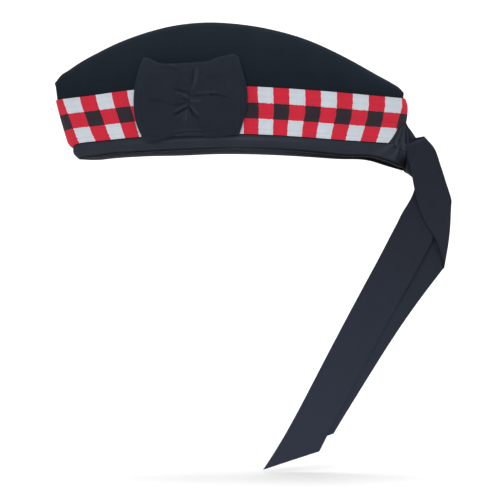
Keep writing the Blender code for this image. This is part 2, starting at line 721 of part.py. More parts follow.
def build_knot(ribbon, collection):
    # Gathered ribbon round the foot of the slit: level rings, thin where they reach into the slit and
    # swelling behind it to the pleated gathers
    front = KNOT_LENGTH * column(KNOT_SECTIONS, KNOT_COLUMNS, "front")
    back = KNOT_LENGTH * column(KNOT_SECTIONS, KNOT_COLUMNS, "back")
    below = KNOT_LENGTH * column(KNOT_SECTIONS, KNOT_COLUMNS, "below")
    tongue = KNOT_THICKNESS / 2.0 * column(KNOT_SECTIONS, KNOT_COLUMNS, "tongue")
    thick = KNOT_THICKNESS / 2.0 * column(KNOT_SECTIONS, KNOT_COLUMNS, "thick")
    angles = np.linspace(0.0, 2.0 * pi, KNOT_SIDES, endpoint=False)
    pleat = 1.0 + KNOT_PLEAT_SHARE * np.cos(KNOT_PLEATS * angles)
    rings = []
    for i in range(len(below)):
        behind = (front[i] + back[i]) / 2.0 + (back[i] - front[i]) / 2.0 * np.cos(angles)
        swell = np.clip((behind - KNOT_TONGUE_END) / KNOT_SWELL_RUN, 0.0, 1.0)
        swell = swell * swell * (3.0 - 2.0 * swell)
        ring = np.zeros((len(angles), 3))
        ring[:, 0] = KNOT_TOP[0] + behind
        ring[:, 1] = (tongue[i] + (thick[i] - tongue[i]) * swell) * np.sin(angles) * pleat
        ring[:, 2] = KNOT_TOP[2] - below[i]
        rings.append(ring)
    vertices, faces = loft(np.array(rings))
    return add_object("back_knot", vertices, faces, [ribbon], collection)


def ribbon_rows(table, length, start, steps, cut=0.0):
    # Centre line from the headings, and rows across it in their own direction; returns a grid
    run = np.linspace(0.0, 1.0, steps)
    substeps = 40
    fine = np.linspace(0.0, 1.0, substeps * (steps - 1) + 1)
    heading = np.radians(smooth(table, RIBBON_COLUMNS, "heading", fine))
    step = length / (len(fine) - 1)
    x = start[0] + np.concatenate(((0.0,), np.cumsum(np.sin(heading[:-1]) * step)))
    z = start[1] - np.concatenate(((0.0,), np.cumsum(np.cos(heading[:-1]) * step)))
    centre_x = x[::substeps]
    centre_z = z[::substeps]
    heading = heading[::substeps]
    row = np.radians(smooth(table, RIBBON_COLUMNS, "row", run))
    depth = TAIL_LAYER * smooth(table, RIBBON_COLUMNS, "depth", run)
    width = RIBBON_WIDTH * smooth(table, RIBBON_COLUMNS, "width", run)
    bow = RIBBON_WIDTH * smooth(table, RIBBON_COLUMNS, "bow", run)
    half = width / 2.0 / np.abs(np.sin(row - heading))
    across = np.linspace(-1.0, 1.0, RIBBON_LINES)
    slide = cut / 2.0 * np.clip((run - END_CUT_START) / (1.0 - END_CUT_START), 0.0, 1.0) ** END_CUT_BEND
    grid = np.empty((steps, len(across), 3))
    shift = slide[:, None] * -across[None, :]
    reach_x = (half * np.sin(row))[:, None] * across
    reach_z = (half * np.cos(row))[:, None] * across
    round_out = bow[:, None] * (1.0 - across[None, :] ** 2)
    grid[..., 0] = centre_x[:, None] + reach_x + np.sin(heading)[:, None] * shift
    grid[..., 0] -= np.cos(row)[:, None] * round_out
    grid[..., 2] = centre_z[:, None] - reach_z - np.cos(heading)[:, None] * shift
    grid[..., 2] -= np.sin(row)[:, None] * round_out
    grid[..., 1] = depth[:, None]
    return grid


def add_ribbon(name, grid, ribbon, collection):
    # An open sheet given its thickness
    rows, across = grid.shape[:2]
    faces = []
    for i in range(rows - 1):
        for j in range(across - 1):
            a = i * across + j
            faces.append((a, a + 1, a + across + 1, a + across))
    mesh = bpy.data.meshes.new(name)
    mesh.from_pydata([tuple(map(float, point)) for point in grid.reshape(-1, 3)], [], faces)
    mesh.materials.append(ribbon)
    mesh.shade_smooth()
    made = bpy.data.objects.new(name, mesh)
    collection.objects.link(made)
    thicken = made.modifiers.new("thickness", "SOLIDIFY")
    thicken.thickness = RIBBON_WALL
    thicken.offset = 0.0
    thicken.use_even_offset = True
    return made


def build_tail_far(ribbon, collection):
    # Over the knot, down to the fold at the back outline, then behind the near tail
    over = ribbon_rows(TAIL_OVER, OVER_LENGTH, TAIL_TOP, OVER_STEPS)
    fold = (over[-1, 0] + over[-1, -1]) / 2.0
    fall = ribbon_rows(TAIL_FALL, FALL_LENGTH, (fold[0], fold[2]), FALL_STEPS, cut=-END_CUT)
    return add_ribbon("tail_far", np.concatenate((over, fall[1:])), ribbon, collection)


def build_tail_near(ribbon, collection):
    # From under the knot, between the two layers of the far tail
    grid = ribbon_rows(TAIL_NEAR, NEAR_LENGTH, TAIL_NEAR_TOP, NEAR_STEPS, cut=END_CUT)
    return add_ribbon("tail_near", grid, ribbon, collection)


def main():
    for leftover in list(bpy.data.objects):
        bpy.data.objects.remove(leftover, do_unlink=True)
    collection = bpy.data.collections.new("glengarry")
    bpy.context.scene.collection.children.link(collection)

    felt = new_material("black_felt", (0.012, 0.015, 0.021), 0.92)
    ribbon = new_material("black_ribbon", (0.020, 0.022, 0.032), 0.70)
    dice = [
        new_material("dice_red", (0.60, 0.020, 0.038), 0.80),
        new_material("dice_white", (0.70, 0.74, 0.80), 0.80),
        new_material("dice_black", (0.025, 0.020, 0.025), 0.80),
    ]

    build_side_panel("crown_left", 1, felt, collection)
    build_side_panel("crown_right", -1, felt, collection)
    build_crown_top(felt, collection)
    build_band(dice, collection)
    build_rim_binding(ribbon, collection)
    build_slit_binding("slit_binding_left", 1, ribbon, collection)
    build_slit_binding("slit_binding_right", -1, ribbon, collection)
    build_cockade(ribbon, collection)
    build_knot(ribbon, collection)
    build_tail_far(ribbon, collection)
    build_tail_near(ribbon, collection)


main()
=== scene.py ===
# Glengarry: a felt cap with a diced band, a pinched ribbon cockade and two ribbon tails.
# Metres, +Z up, front of the cap to -X, cockade side to -Y, origin in the middle of the rim.
from math import pi, radians

import bpy
import numpy as np
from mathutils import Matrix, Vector


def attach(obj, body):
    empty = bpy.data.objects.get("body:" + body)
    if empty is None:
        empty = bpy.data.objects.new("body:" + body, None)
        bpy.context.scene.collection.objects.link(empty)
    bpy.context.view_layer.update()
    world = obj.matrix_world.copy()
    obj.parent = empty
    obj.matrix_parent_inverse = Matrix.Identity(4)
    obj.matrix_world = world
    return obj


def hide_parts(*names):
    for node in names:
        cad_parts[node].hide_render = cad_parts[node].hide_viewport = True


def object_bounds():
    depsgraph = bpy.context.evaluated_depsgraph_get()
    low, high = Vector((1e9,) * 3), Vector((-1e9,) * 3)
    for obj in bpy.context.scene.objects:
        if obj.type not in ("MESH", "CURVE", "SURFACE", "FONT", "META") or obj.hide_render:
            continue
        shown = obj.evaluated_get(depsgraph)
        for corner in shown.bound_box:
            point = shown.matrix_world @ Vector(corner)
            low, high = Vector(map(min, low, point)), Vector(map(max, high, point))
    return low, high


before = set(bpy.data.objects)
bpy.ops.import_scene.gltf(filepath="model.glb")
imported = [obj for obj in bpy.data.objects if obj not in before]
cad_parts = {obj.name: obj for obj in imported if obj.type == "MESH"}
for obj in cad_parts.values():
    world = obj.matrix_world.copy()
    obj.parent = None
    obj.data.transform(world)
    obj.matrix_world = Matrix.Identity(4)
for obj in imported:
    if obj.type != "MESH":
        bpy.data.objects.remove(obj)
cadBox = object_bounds()
print("frame: nodes", sorted(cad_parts))

mm = 0.001  # the tables' small lengths are in mm

# The shape that all the layers share
cap = {
    "fronts": (-0.1348, -0.1432, -0.1535, -0.1551),  # x of the rim, the band's foot, its top, the ridge
    "backs": (0.1378, 0.1394, 0.1372, 0.1368),
    "tipFade": 0.0045, "heelFade": 0.006,
    "widths": (0.089, 0.091, 0.094, 0.036),
    "noses": (0.0045, 0.0045, 0.0045, 0.0009),  # radius of each outline at its two ends
    "heights": (0.005, 0.0105, 0.0385, 0.0545),  # rim's arch, binding, band, felt above the band
    "crownLean": 2.2,
    "feltWall": 0.002,
    "gap": 0.0003,  # between one layer of cloth and the next
    "slitTop": 5.0 / 3.0,  # level where the open slit at the back ends
    "slitHalf": (0.005, 0.0018),  # half of the slit at its foot and at its top
    "bandClose": 1.46,  # level where the band's two ends meet behind
}
feltWall, gap = cap["feltWall"], cap["gap"]
turnLength = 0.15  # metres of cloth to one radian of turn
footLength = cap["backs"][1] - cap["fronts"][1]

# along, then shares of the rim's arch, the binding and the band
sideRows = np.array((
    (0, -0.54, 1.138, 0.955), (0.05, -0.53, 1.19, 0.961), (0.1, -0.18, 1.1, 0.967), (0.2, 0.28, 1.066, 0.992),
    (0.3, 0.48, 1.075, 1.01), (0.42, 0.8, 1.006, 1.015), (0.5, 0.82, 0.997, 1.017), (0.65, 0.5, 1, 1.014),
    (0.8, -0.14, 1.06, 1.022), (0.9, -0.56, 1.15, 1.01), (0.95, -1.48, 1.547, 1.003), (1, -2.4, 1.965, 0.995),
))

# along, then share of the felt's height above the band
ridgeRows = np.array((
    (0, 0.26), (0.02, 0.374), (0.04, 0.432), (0.07, 0.525), (0.14, 0.687), (0.24, 0.857), (0.34, 0.97),
    (0.43, 1.008), (0.52, 0.988), (0.62, 0.926), (0.72, 0.803), (0.84, 0.551), (0.92, 0.344), (0.97, 0.215),
    (0.985, 0.17), (1, 0.095),
))

# level, then the width of the slit's binding in mm
legRows = np.array((
    (1, 14), (1.137, 10.6), (1.31, 6.9), (1.4, 3.6), (1.46, 0.8),
))

# level, then how far the front tip lies back and down, in mm: the lower corner is round
tipRows = np.array((
    (0, 0.7, 0), (0.4, 0.7, 0.2), (0.74, 2.9, 1.6), (1, 4.1, 2.8), (1.045, 2, 2.7), (1.115, 0.8, 2.4),
    (1.31, 0.2, 1.6), (1.67, 0, 0.6), (2, 0, 0),
))

# level, then how far the back end lies forward, in mm: it swells over the slit
heelRows = np.array((
    (1.2, 0), (1.45, 0.4), (1.61, -1), (1.76, -1.8), (1.85, -1.9), (1.92, -1.3), (2, -0.2),
))

# along, then how far the rim lies higher on the cockade's side than on the other, in mm
nearRimRows = np.array((
    (0, 0), (0.02, 0.9), (0.05, 1.4), (0.08, 1.2), (0.127, 1.2), (0.158, 0.5), (0.22, 0), (0.29, 0.1),
    (0.38, -0.5), (0.5, -0.5), (0.7, -0.4), (0.763, -0.6), (0.822, -0.7), (0.88, 0.3), (0.912, 1),
    (0.945, 1.6), (1, 1.9),
))


def bell(away, width):
    # exp(-(away / width)^2)
    return np.exp(-(away / width) ** 2)


def ramp(value, start, slope):
    # 0 up to the start, then rises by the slope to 1; a slope below 0 falls to 0 at the start
    return np.clip((value - start) * slope, 0, 1)


def straightAt(rows, at):
    # Straight between the rows: one array for each column after the first
    return np.array([np.interp(at, rows[:, 0], values) for values in rows.T[1:]])


def smoothAt(rows, at):
    # The same with cubic Hermite curves, whose slopes are the centred differences of the column
    knots = rows[:, 0]
    at = np.clip(at, knots[0], knots[-1])
    span = np.clip(np.searchsorted(knots, at, side="right") - 1, 0, len(knots) - 2)
    width = knots[span + 1] - knots[span]
    t = (at - knots[span]) / width
    curves = []
    for values in rows.T[1:]:
        slopes = np.gradient(values, knots)
        curves.append((2 * t ** 3 - 3 * t ** 2 + 1) * values[span] + (3 * t ** 2 - 2 * t ** 3) * values[span + 1]
                      + ((t ** 3 - 2 * t ** 2 + t) * slopes[span] + (t ** 3 - t ** 2) * slopes[span + 1]) * width)
    return np.array(curves)


def betweenLevels(level, rim, foot, top, high):
    # Straight from rim (level 0) to the band's foot (1) and its top (2), then the high values
    low = rim + (foot - rim) * level
    middle = foot + (top - foot) * (level - 1)
    return np.where(level < 1, low, np.where(level < 2, middle, high))


def heightAt(share, level):
    # Heights stack up from the rim, straight between them; the ridge is level 3
    shares = (*smoothAt(sideRows, share), *smoothAt(ridgeRows, share))
    rim, foot, top, ridge = np.cumsum([tall * part for tall, part in zip(cap["heights"], shares)], axis=0)
    return betweenLevels(level, rim, foot, top, top + (ridge - top) * (level - 2))


def boatHalf(turn, number):
    # Half width of a boat outline: w sin(t) sqrt((sin(t)^2 + b) / (1 + b)), with b set by the nose's radius
    half = cap["widths"][number] / 2
    pull = cap["noses"][number] * (cap["backs"][number] - cap["fronts"][number]) / 2
    blunt = pull / max(half * half - pull, 0.02 * half * half)
    wave = np.sin(turn)
    return half * wave * np.sqrt((wave * wave + blunt) / (1 + blunt))


def turnAt(share):
    return np.arccos(np.clip(1 - 2 * share, -1, 1))


def shareAt(turn):
    return (1 - np.cos(turn)) / 2


def endsAt(level):
    return [np.interp(level, range(4), cap[end]) for end in ("fronts", "backs")]


def sidePoint(turn, level):
    # Felt's outer face. turn: 0 front seam, pi back seam, - on the right. x goes as (1 - cos turn) / 2 and
    # y is the level's boat outline, leaning to the ridge with a power of the height. The front tip and the
    # back end are moved by their rows, fading exponentially along the side.
    share = shareAt(turn)
    front, back = endsAt(level)
    rim, foot, top, ridge = [boatHalf(turn, number) for number in range(4)]
    lean = np.clip(level - 2, 0, 1) ** cap["crownLean"]
    half = betweenLevels(level, rim, foot, top, top + (ridge - top) * lean)
    along = (back - front) * share
    tip = mm * np.exp(-along / cap["tipFade"])
    heel = mm * np.exp(-(back - front - along) / cap["heelFade"])
    tipBack, tipDown = straightAt(tipRows, level)
    x = front + along + tip * tipBack - heel * straightAt(heelRows, level)[0]
    z = heightAt(share, level) - tip * tipDown
    higher = mm * smoothAt(nearRimRows, share)[0] * ramp(level, 1, -1)
    z = z + np.where(turn > 0, higher, 0)
    return np.stack((x, -half, z), axis=-1)


def unit(vectors):
    return vectors / np.linalg.norm(vectors, axis=-1, keepdims=True)


def capPoint(turn, level, lift=0.0, climb=0.0):
    # The side's point moved out along its normal by lift and up the side by climb
    turn, level, lift, climb = np.broadcast_arrays(turn, level, lift, climb)
    step = 0.0005
    below = np.clip(level - step, 0, 3 - 2 * step)
    around = unit(sidePoint(turn + step, level) - sidePoint(turn - step, level))
    up = unit(sidePoint(turn, below + 2 * step) - sidePoint(turn, below))
    out = unit(np.cross(around, up))
    return sidePoint(turn, level) + out * lift[..., None] + up * climb[..., None]


def shareOfHalf(half, level):
    # Share near the back where the side is this far from the middle plane, by halving
    half, level = np.broadcast_arrays(half, level)
    low, high = np.full(half.shape, pi / 2), np.full(half.shape, pi)
    for _ in range(30):
        middle = (low + high) / 2
        wide = -sidePoint(middle, level)[..., 1] > half
        low, high = np.where(wide, middle, low), np.where(wide, high, middle)
    return shareAt(low)


def slitHalfAt(level):
    foot, top = cap["slitHalf"]
    return foot + (top - foot) * np.clip((level - 1) / (cap["slitTop"] - 1), 0, 1)


def slitShare(level):
    # Where the felt ends: the slit's edge below its top, the back seam above it
    return np.where(level > cap["slitTop"] + 0.01, 1.0, shareOfHalf(slitHalfAt(level), level))


def bandEndShare(level):
    # Where the band ends: short of the slit by its binding's leg, joined at the back above it
    leg = mm * straightAt(legRows, level)[0]
    return np.where(level > cap["bandClose"], 1.0, slitShare(level) - leg / footLength)


def softWaves(across, along, size, seed, count=9):
    # Sum of sines in turned directions, each with its own length and phase: about -1 to 1
    maker = np.random.default_rng(seed)
    angles, phases = maker.uniform(0, pi, count), maker.uniform(0, 2 * pi, count)
    lengths = size * maker.uniform(0.6, 1.7, count)
    total = 0
    for angle, phase, length in zip(angles, phases, lengths):
        total = total + np.sin(2 * pi * (across * np.cos(angle) + along * np.sin(angle)) / length + phase)
    return total / np.sqrt(count * 2)


# From grids of points to meshes

def gridNormals(points):
    # Cross product of the differences along both ways of the grid
    return unit(np.cross(np.gradient(points, axis=1), np.gradient(points, axis=0)) + 1e-12)


def keepToSide(face, side, least):
    # Holds y off the middle plane by the least: side 1 is the cockade's side, -1 the other
    face[..., 1] = -side * np.maximum(-side * face[..., 1], least)


def flatSizes(points):
    # Cloth lengths along both ways of the grid, in metres from its first row and middle column
    along = np.linalg.norm(np.diff(points, axis=0), axis=-1)
    across = np.linalg.norm(np.diff(points, axis=1), axis=-1)
    v = np.concatenate((np.zeros((1, points.shape[1])), np.cumsum(along, axis=0)))
    u = np.concatenate((np.zeros((points.shape[0], 1)), np.cumsum(across, axis=1)), axis=1)
    middle = points.shape[1] // 2
    return np.stack((u - u[:, middle:middle + 1], v), axis=-1)


def placeObject(name, data):
    thing = bpy.data.objects.new(name, data)
    bpy.context.scene.collection.objects.link(thing)
    return thing


def clothWall(name, outer, inner, flat=None, wrap=False, marks={}):
    # A closed cloth: one grid for each face and a strip along every edge, pointing from inner to outer
    rows, columns = outer.shape[:2]
    flat = flatSizes(outer) if flat is None else flat
    label = np.arange(rows * columns).reshape(rows, columns)
    columns -= wrap  # the last column is the first one again
    index = np.arange(rows)[:, None] * columns + np.arange(label.shape[1]) % columns
    over = np.stack((index, label), axis=-1)  # numbers of each point and of its place in flat
    below = (rows * columns, 0)  # from the outer face to the inner one
    under = over + below
    quads = [(over[:-1, :-1], over[:-1, 1:], over[1:, 1:], over[1:, :-1]),
             (under[:-1, :-1], under[1:, :-1], under[1:, 1:], under[:-1, 1:])]
    edges = [(over[0, 1:], over[0, :-1]), (over[-1, :-1], over[-1, 1:])]
    if not wrap:
        edges += [(over[:-1, 0], over[1:, 0]), (over[1:, -1], over[:-1, -1])]
    quads += [(a, b, b + below, a + below) for a, b in edges]
    quads = np.concatenate([np.stack(quad, axis=-2).reshape(-1, 4, 2) for quad in quads])
    if (gridNormals(outer) * (outer - inner)).sum() > 0:  # the grid runs the other way round
        quads = quads[:, ::-1]
    points = np.concatenate((outer[:, :columns].reshape(-1, 3), inner[:, :columns].reshape(-1, 3)))
    mesh = bpy.data.meshes.new(name)
    mesh.from_pydata(points.tolist(), [], quads[..., 0].tolist())
    places = flat.reshape(-1, 2)[quads[..., 1].ravel()]
    mesh.uv_layers.new(name="cloth").data.foreach_set("uv", places.astype(np.float32).ravel())
    for markName, values in marks.items():
        both = np.tile(values[:, :columns].ravel(), 2).clip(0, 1).astype(np.float32)
        mesh.attributes.new(markName, "FLOAT", "POINT").data.foreach_set("value", both)
    mesh.shade_smooth()
    mesh.set_sharp_from_angle(angle=radians(50))
    return placeObject(name, mesh)


def clothAround(name, middle, wall, **more):
    # A cloth with its middle on the grid: half of the wall to each side, along the grid's normal
    out = gridNormals(middle) * wall / 2
    return clothWall(name, middle + out, middle - out, **more)


def finishPiece(piece, node, material):
    piece.data.materials.append(material)
    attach(piece, "root")
    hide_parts(node)


# Tools for the materials

def feed(tree, node, values):
    # Numbers and colours are set on the node's sockets, anything else is another node's output
    for label, value in values.items():
        socket = node.inputs[label]
        if isinstance(value, tuple):
            socket.default_value = (*value, 1)
        elif isinstance(value, (int, float)):
            socket.default_value = value
        else:
            tree.links.new(value, socket)


def addMath(tree, operation, *values):
    node = tree.nodes.new("ShaderNodeMath")
    node.operation = operation
    feed(tree, node, dict(enumerate(values)))
    return node.outputs[0]


def addSum(tree, *parts):
    # Sum of the sockets, each times its weight
    total = addMath(tree, "MULTIPLY", *parts[0])
    for socket, weight in parts[1:]:
        total = addMath(tree, "ADD", total, addMath(tree, "MULTIPLY", socket, weight))
    return total


def addMix(tree, share, first, second, blend="MIX"):
    node = tree.nodes.new("ShaderNodeMix")
    node.data_type, node.blend_type = "RGBA", blend
    feed(tree, node, {0: share, 6: first, 7: second})
    return node.outputs[2]


def addNoise(tree, vector, scale, detail):
    node = tree.nodes.new("ShaderNodeTexNoise")
    feed(tree, node, {"Vector": vector, "Scale": scale, "Detail": detail})
    return node.outputs["Fac"]


def addWave(tree, count):
    # |sin(pi count)|: a round rib for every whole number
    return addMath(tree, "ABSOLUTE", addMath(tree, "SINE", addMath(tree, "MULTIPLY", count, pi)))


def addRandom(tree, count):
    # One random value for every whole number
    node = tree.nodes.new("ShaderNodeTexWhiteNoise")
    node.noise_dimensions = "1D"
    feed(tree, node, {"W": addMath(tree, "FLOOR", count)})
    return node.outputs["Value"]


def addBump(tree, shader, height, own):
    bump = tree.nodes.new("ShaderNodeBump")
    feed(tree, bump, {"Height": height, "Strength": own["bump"], "Distance": own["deep"]})
    feed(tree, shader, {"Normal": bump.outputs["Normal"]})


def readMark(tree, name):
    node = tree.nodes.new("ShaderNodeAttribute")
    node.attribute_name = name
    return node.outputs["Fac"]


def startMaterial(name, sockets):
    material = bpy.data.materials.new(name)
    material.use_nodes = True
    tree = material.node_tree
    shader = tree.nodes["Principled BSDF"]
    feed(tree, shader, sockets)
    return material, tree, shader


socketKinds = {"Vector": "Vector", "Cloth": "Color", "Worn": "Color", "Colour": "Color"}  # others are floats


def startGroup(name, inputs, outputs):
    group = bpy.data.node_groups.new(name, "ShaderNodeTree")
    for way, labels in (("INPUT", inputs), ("OUTPUT", outputs)):
        for label in labels.split():
            kind = "NodeSocket" + socketKinds.get(label, "Float")
            group.interface.new_socket(name=label, in_out=way, socket_type=kind)
    return group, group.nodes.new("NodeGroupInput").outputs, group.nodes.new("NodeGroupOutput")


def useGroup(tree, group, **values):
    node = tree.nodes.new("ShaderNodeGroup")
    node.node_tree = group
    feed(tree, node, values)
    return node.outputs


# Looks that the felt, the ribbons and the diced weave share
clothLook = {
    "toneDetail": 4.0, "napDetail": 3.0, "toneInNap": 0.35,
    # creased: the nearly black colour of painted shade
    "paintedShadeColour": (0.0015, 0.002, 0.003),
}


def makeFuzz():
    # Uneven dye and short fibres: a slow noise for the tone, and a fast one on top of it for the nap
    group, into, out = startGroup("clothFuzz", "Vector Scale Nap", "Tone Fibre")
    slow = addNoise(group, into["Vector"], into["Scale"], clothLook["toneDetail"])
    fast = addNoise(group, into["Vector"], into["Nap"], clothLook["napDetail"])
    feed(group, out, {"Tone": slow, "Fibre": addSum(group, (slow, clothLook["toneInNap"]), (fast, 1.0))})
    return group


def makeRibs():
    # Cross ribs of a ribbon: |sin| of its length over the pitch, with a tone of its own for every rib
    group, into, out = startGroup("ribbonRibs", "Vector Pitch", "Rib Tone")
    split = group.nodes.new("ShaderNodeSeparateXYZ")
    feed(group, split, {0: into["Vector"]})
    count = addMath(group, "DIVIDE", split.outputs["Y"], into["Pitch"])
    feed(group, out, {"Rib": addWave(group, count), "Tone": addRandom(group, count)})
    return group


def makeWearLightShade():
    # Cloth goes to its lighter colour by the mark of wear and painted light, and to nearly black by the mark of
    # painted shade in creases, hollows and under folds
    group, into, out = startGroup("clothWearLightShade", "Cloth Worn Fade Crease", "Colour")
    faded = addMix(group, into["Fade"], into["Cloth"], into["Worn"])
    feed(group, out, {"Colour": addMix(group, into["Crease"], faded, clothLook["paintedShadeColour"])})
    return group


fuzz, ribs, wearLightShade = makeFuzz(), makeRibs(), makeWearLightShade()


def startCloth(name, own):
    # A material, its place on the flat cloth, and the nap in the piece's own space
    material, tree, shader = startMaterial(name, own["sockets"])
    place = tree.nodes.new("ShaderNodeTexCoord").outputs
    nap = useGroup(tree, fuzz, Vector=place["Object"], Scale=own["patches"], Nap=own["nap"])
    return material, tree, shader, place["UV"], nap


def colourCloth(tree, shader, own, share, fade):
    # The colour goes from its dark to its light tone by the share, then lighter by the mark of wear and painted
    # light, and darker by the mark of painted shade
    dark, light = [tuple(tone * part for part in own["colour"]) for tone in own["tones"]]
    worked = useGroup(tree, wearLightShade, Cloth=addMix(tree, share, dark, light), Worn=own["worn"],
                      Fade=fade, Crease=readMark(tree, "crease"))
    feed(tree, shader, {"Base Color": worked["Colour"]})


feltLook = {
    "sockets": {"Roughness": 0.95, "Sheen Weight": 0.01, "Sheen Roughness": 0.6,
                "Sheen Tint": (0.45, 0.55, 0.75), "Specular IOR Level": 0.05},
    "colour": (0.0074, 0.0112, 0.016), "worn": (0.02, 0.025, 0.032), "tones": (0.86, 1.16),
    "patches": 55.0, "nap": 1500.0, "edgeNap": 0.2, "bump": 0.35, "deep": 0.0006,
}


def makeFelt(name):
    # Milled wool: dark navy, matte, a little lighter where the edge is rolled
    own = feltLook
    material, tree, shader, _, nap = startCloth(name, own)
    uneven = addMath(tree, "ADD", nap["Fibre"], own["edgeNap"])
    colourCloth(tree, shader, own, nap["Tone"], addMath(tree, "MULTIPLY", readMark(tree, "fade"), uneven))
    addBump(tree, shader, nap["Fibre"], own)
    return material


ribbonLook = {
    "sockets": {"Roughness": 0.64, "Sheen Weight": 0.01, "Sheen Roughness": 0.4,
                "Sheen Tint": (0.5, 0.57, 0.8), "Specular IOR Level": 0.08},
    "tones": (0.84, 1.18), "patches": 70.0, "nap": 2400.0, "patchTone": 0.7, "ribTone": 0.3,
    "napHeight": 0.5, "bump": 0.45, "deep": 0.00012, "pitch": 0.00055,  # the last is from rib to rib
}
# Each ribbon's worn colour is the lighter colour that its painted light mixes to
bowLook = {**ribbonLook, "colour": (0.0098, 0.0137, 0.0213), "worn": (0.03, 0.038, 0.052)}
tailLook = {**ribbonLook, "colour": (0.011, 0.0134, 0.02), "worn": (0.0245, 0.03, 0.047)}
bindingLook = {
    **ribbonLook, "colour": (0.0172, 0.0208, 0.0288), "worn": (0.06, 0.07, 0.092),
    "sockets": {**ribbonLook["sockets"], "Roughness": 0.66}, "deep": 0.00016, "pitch": 0.0007,
}


def makeRibbon(name, own):
    # Grosgrain: ribs across the ribbon, a faint nap, softly shining, lighter where light is painted on and dark
    # where shade is painted into creases
    material, tree, shader, flat, nap = startCloth(name, own)
    rib = useGroup(tree, ribs, Vector=flat, Pitch=own["pitch"])
    share = addSum(tree, (nap["Tone"], own["patchTone"]), (rib["Tone"], own["ribTone"]))
    colourCloth(tree, shader, own, share, readMark(tree, "fade"))
    height = addSum(tree, (rib["Rib"], 1.0), (nap["Fibre"], own["napHeight"]))
    addBump(tree, shader, height, own)
    return material


feltBlack = makeFelt("feltBlack")
bowBlack = makeRibbon("bowBlack", bowLook)
ribbonBlack = makeRibbon("ribbonBlack", tailLook)
bindingBlack = makeRibbon("bindingBlack", bindingLook)
print("materials: felt and ribbons")


crownPanel = {
    "lowLevels": 36, "levels": 110, "levelSpread": 0.85, "steps": 260,
    "dent": 0.0005, "dentSize": 0.06,
    "rollWidth": 0.0022, "rollHeight": 0.0006,  # rolled seam along the ridge
    "flat": (0.32, 0.118), "area": 0.0285,
}


def makeCrownPanel(name, node, side):
    # Rim to ridge and seam to seam: capPoint on a grid of level and turn, with slow dents above the band
    # and a bell of a roll where it meets the top panel
    own = crownPanel
    high = 2 + np.linspace(0, 1, own["levels"]) ** own["levelSpread"]
    level = np.hstack((np.linspace(0, 2, own["lowLevels"], endpoint=False), high))
    turn = side * turnAt(slitShare(level))[:, None] * np.linspace(0, 1, own["steps"])
    level = np.broadcast_to(level[:, None], turn.shape)
    place = sidePoint(turn, level)
    above = ramp(level, 2, 4) * ramp(level, 3, -6)
    seams = ramp(np.abs(np.sin(turn)), 0, 3)
    rise = heightAt(shareAt(turn), 3) - place[..., 2]
    roll = bell(rise, own["rollWidth"])
    dents = own["dent"] * softWaves(place[..., 0], place[..., 2], own["dentSize"], seed=4 + side) * above * seams
    lift = dents + own["rollHeight"] * roll * (level > 2)
    outer = capPoint(turn, level, lift)
    inner = capPoint(turn, level, lift * (level < 2.9) - feltWall)
    for face in (outer, inner):
        keepToSide(face, side, gap / 2)
    piece = clothWall(name, outer, inner, marks={"fade": roll * (level > 2)})
    finishPiece(piece, node, feltBlack)


makeCrownPanel("leftSide", "crown_left", 1)
makeCrownPanel("rightSide", "crown_right", -1)

crownLeaf = {
    "ends": (0.01, 0.984), "steps": 240, "lines": 61,
    "crease": 0.032, "blunt": 0.6, "sink": 0.0012,
    "pucker": 0.0004, "puckerSize": 0.045, "lighterFrom": 0.95,
    "flat": (0.098, 0.29), "area": 0.0145,
}


def makeCrownTop():
    # Leaf between the ridges, folded down lengthwise: y spans the ridges, z drops as a hyperbola
    # sqrt(a^2 + b^2) across, as deep as the square of the leaf's width
    own = crownLeaf
    turns = np.linspace(turnAt(own["ends"][0]), turnAt(own["ends"][1]), own["steps"])
    rise = cap["heights"][3] * smoothAt(ridgeRows, shareAt(turns))[0]
    edge = capPoint(turns, 3 - (own["sink"] + feltWall) / rise, -(feltWall + gap))
    brim = capPoint(turns, 3 - own["sink"] / rise, -(feltWall + gap))
    keepToSide(edge, 1, gap)
    keepToSide(brim, 1, gap)
    across, blunt = np.linspace(-1, 1, own["lines"]), own["blunt"]
    bowl = (np.sqrt(across ** 2 + blunt ** 2) - blunt) / (np.sqrt(1 + blunt ** 2) - blunt)
    x, y, z = edge[:, :1], edge[:, 1:2], edge[:, 2:]
    pucker = own["pucker"] * softWaves(x, -y * across, own["puckerSize"], seed=12) * (1 - np.abs(across))
    z = z - own["crease"] * (y / y.min()) ** 2 * (1 - bowl) + pucker
    under = np.stack(np.broadcast_arrays(x, -y * across, z), axis=-1)
    normal = gridNormals(under)
    upper = under + normal * np.sign(normal[..., 2:]) * feltWall
    upper[..., 1] = np.clip(upper[..., 1], brim[:, 1:2], -brim[:, 1:2])
    # Lighter towards the leaf's two long edges
    worn = np.broadcast_to(ramp(np.abs(across), own["lighterFrom"], 8), under.shape[:2])
    piece = clothWall("topPanel", upper, under, marks={"fade": worn})
    finishPiece(piece, "crown_top", feltBlack)


makeCrownTop()
print("felt: two sides and the folded top")


dicedBand = {
    "rows": 3, "startTop": 0.0061, "startFoot": 0.0097, "pitchTop": 0.01345, "pitchFoot": 0.01236,
    "height": 0.04, "wall": 0.001, "steps": 300, "lines": 49, "lineSpread": 1.1,
    "wobble": 0.00012, "wobbleSize": 0.03,
    "seamShare": 0.03,  # keeps the threads at the front seam in their column
    "flat": (0.64, 0.0395),
}
weaveLook = {
    "sockets": {"Roughness": 0.86, "Sheen Weight": 0.05, "Specular IOR Level": 0.2},
    "red": (0.495, 0.013, 0.033), "white": (0.488, 0.535, 0.585), "black": (0.019, 0.013, 0.02),
    "dark": (0.84, 0.82, 0.82), "light": (1.1, 1.1, 1.1),
    "threads": 14.0, "jitter": 0.035,  # threads to a die, and how far one steps over its border
    "weftTone": 0.35, "patchTone": 0.45, "warpTone": 0.2, "patches": 120.0, "nap": 2600.0,
    "warpHeight": 0.45, "napHeight": 0.4, "bump": 0.6, "deep": 0.0003,
}


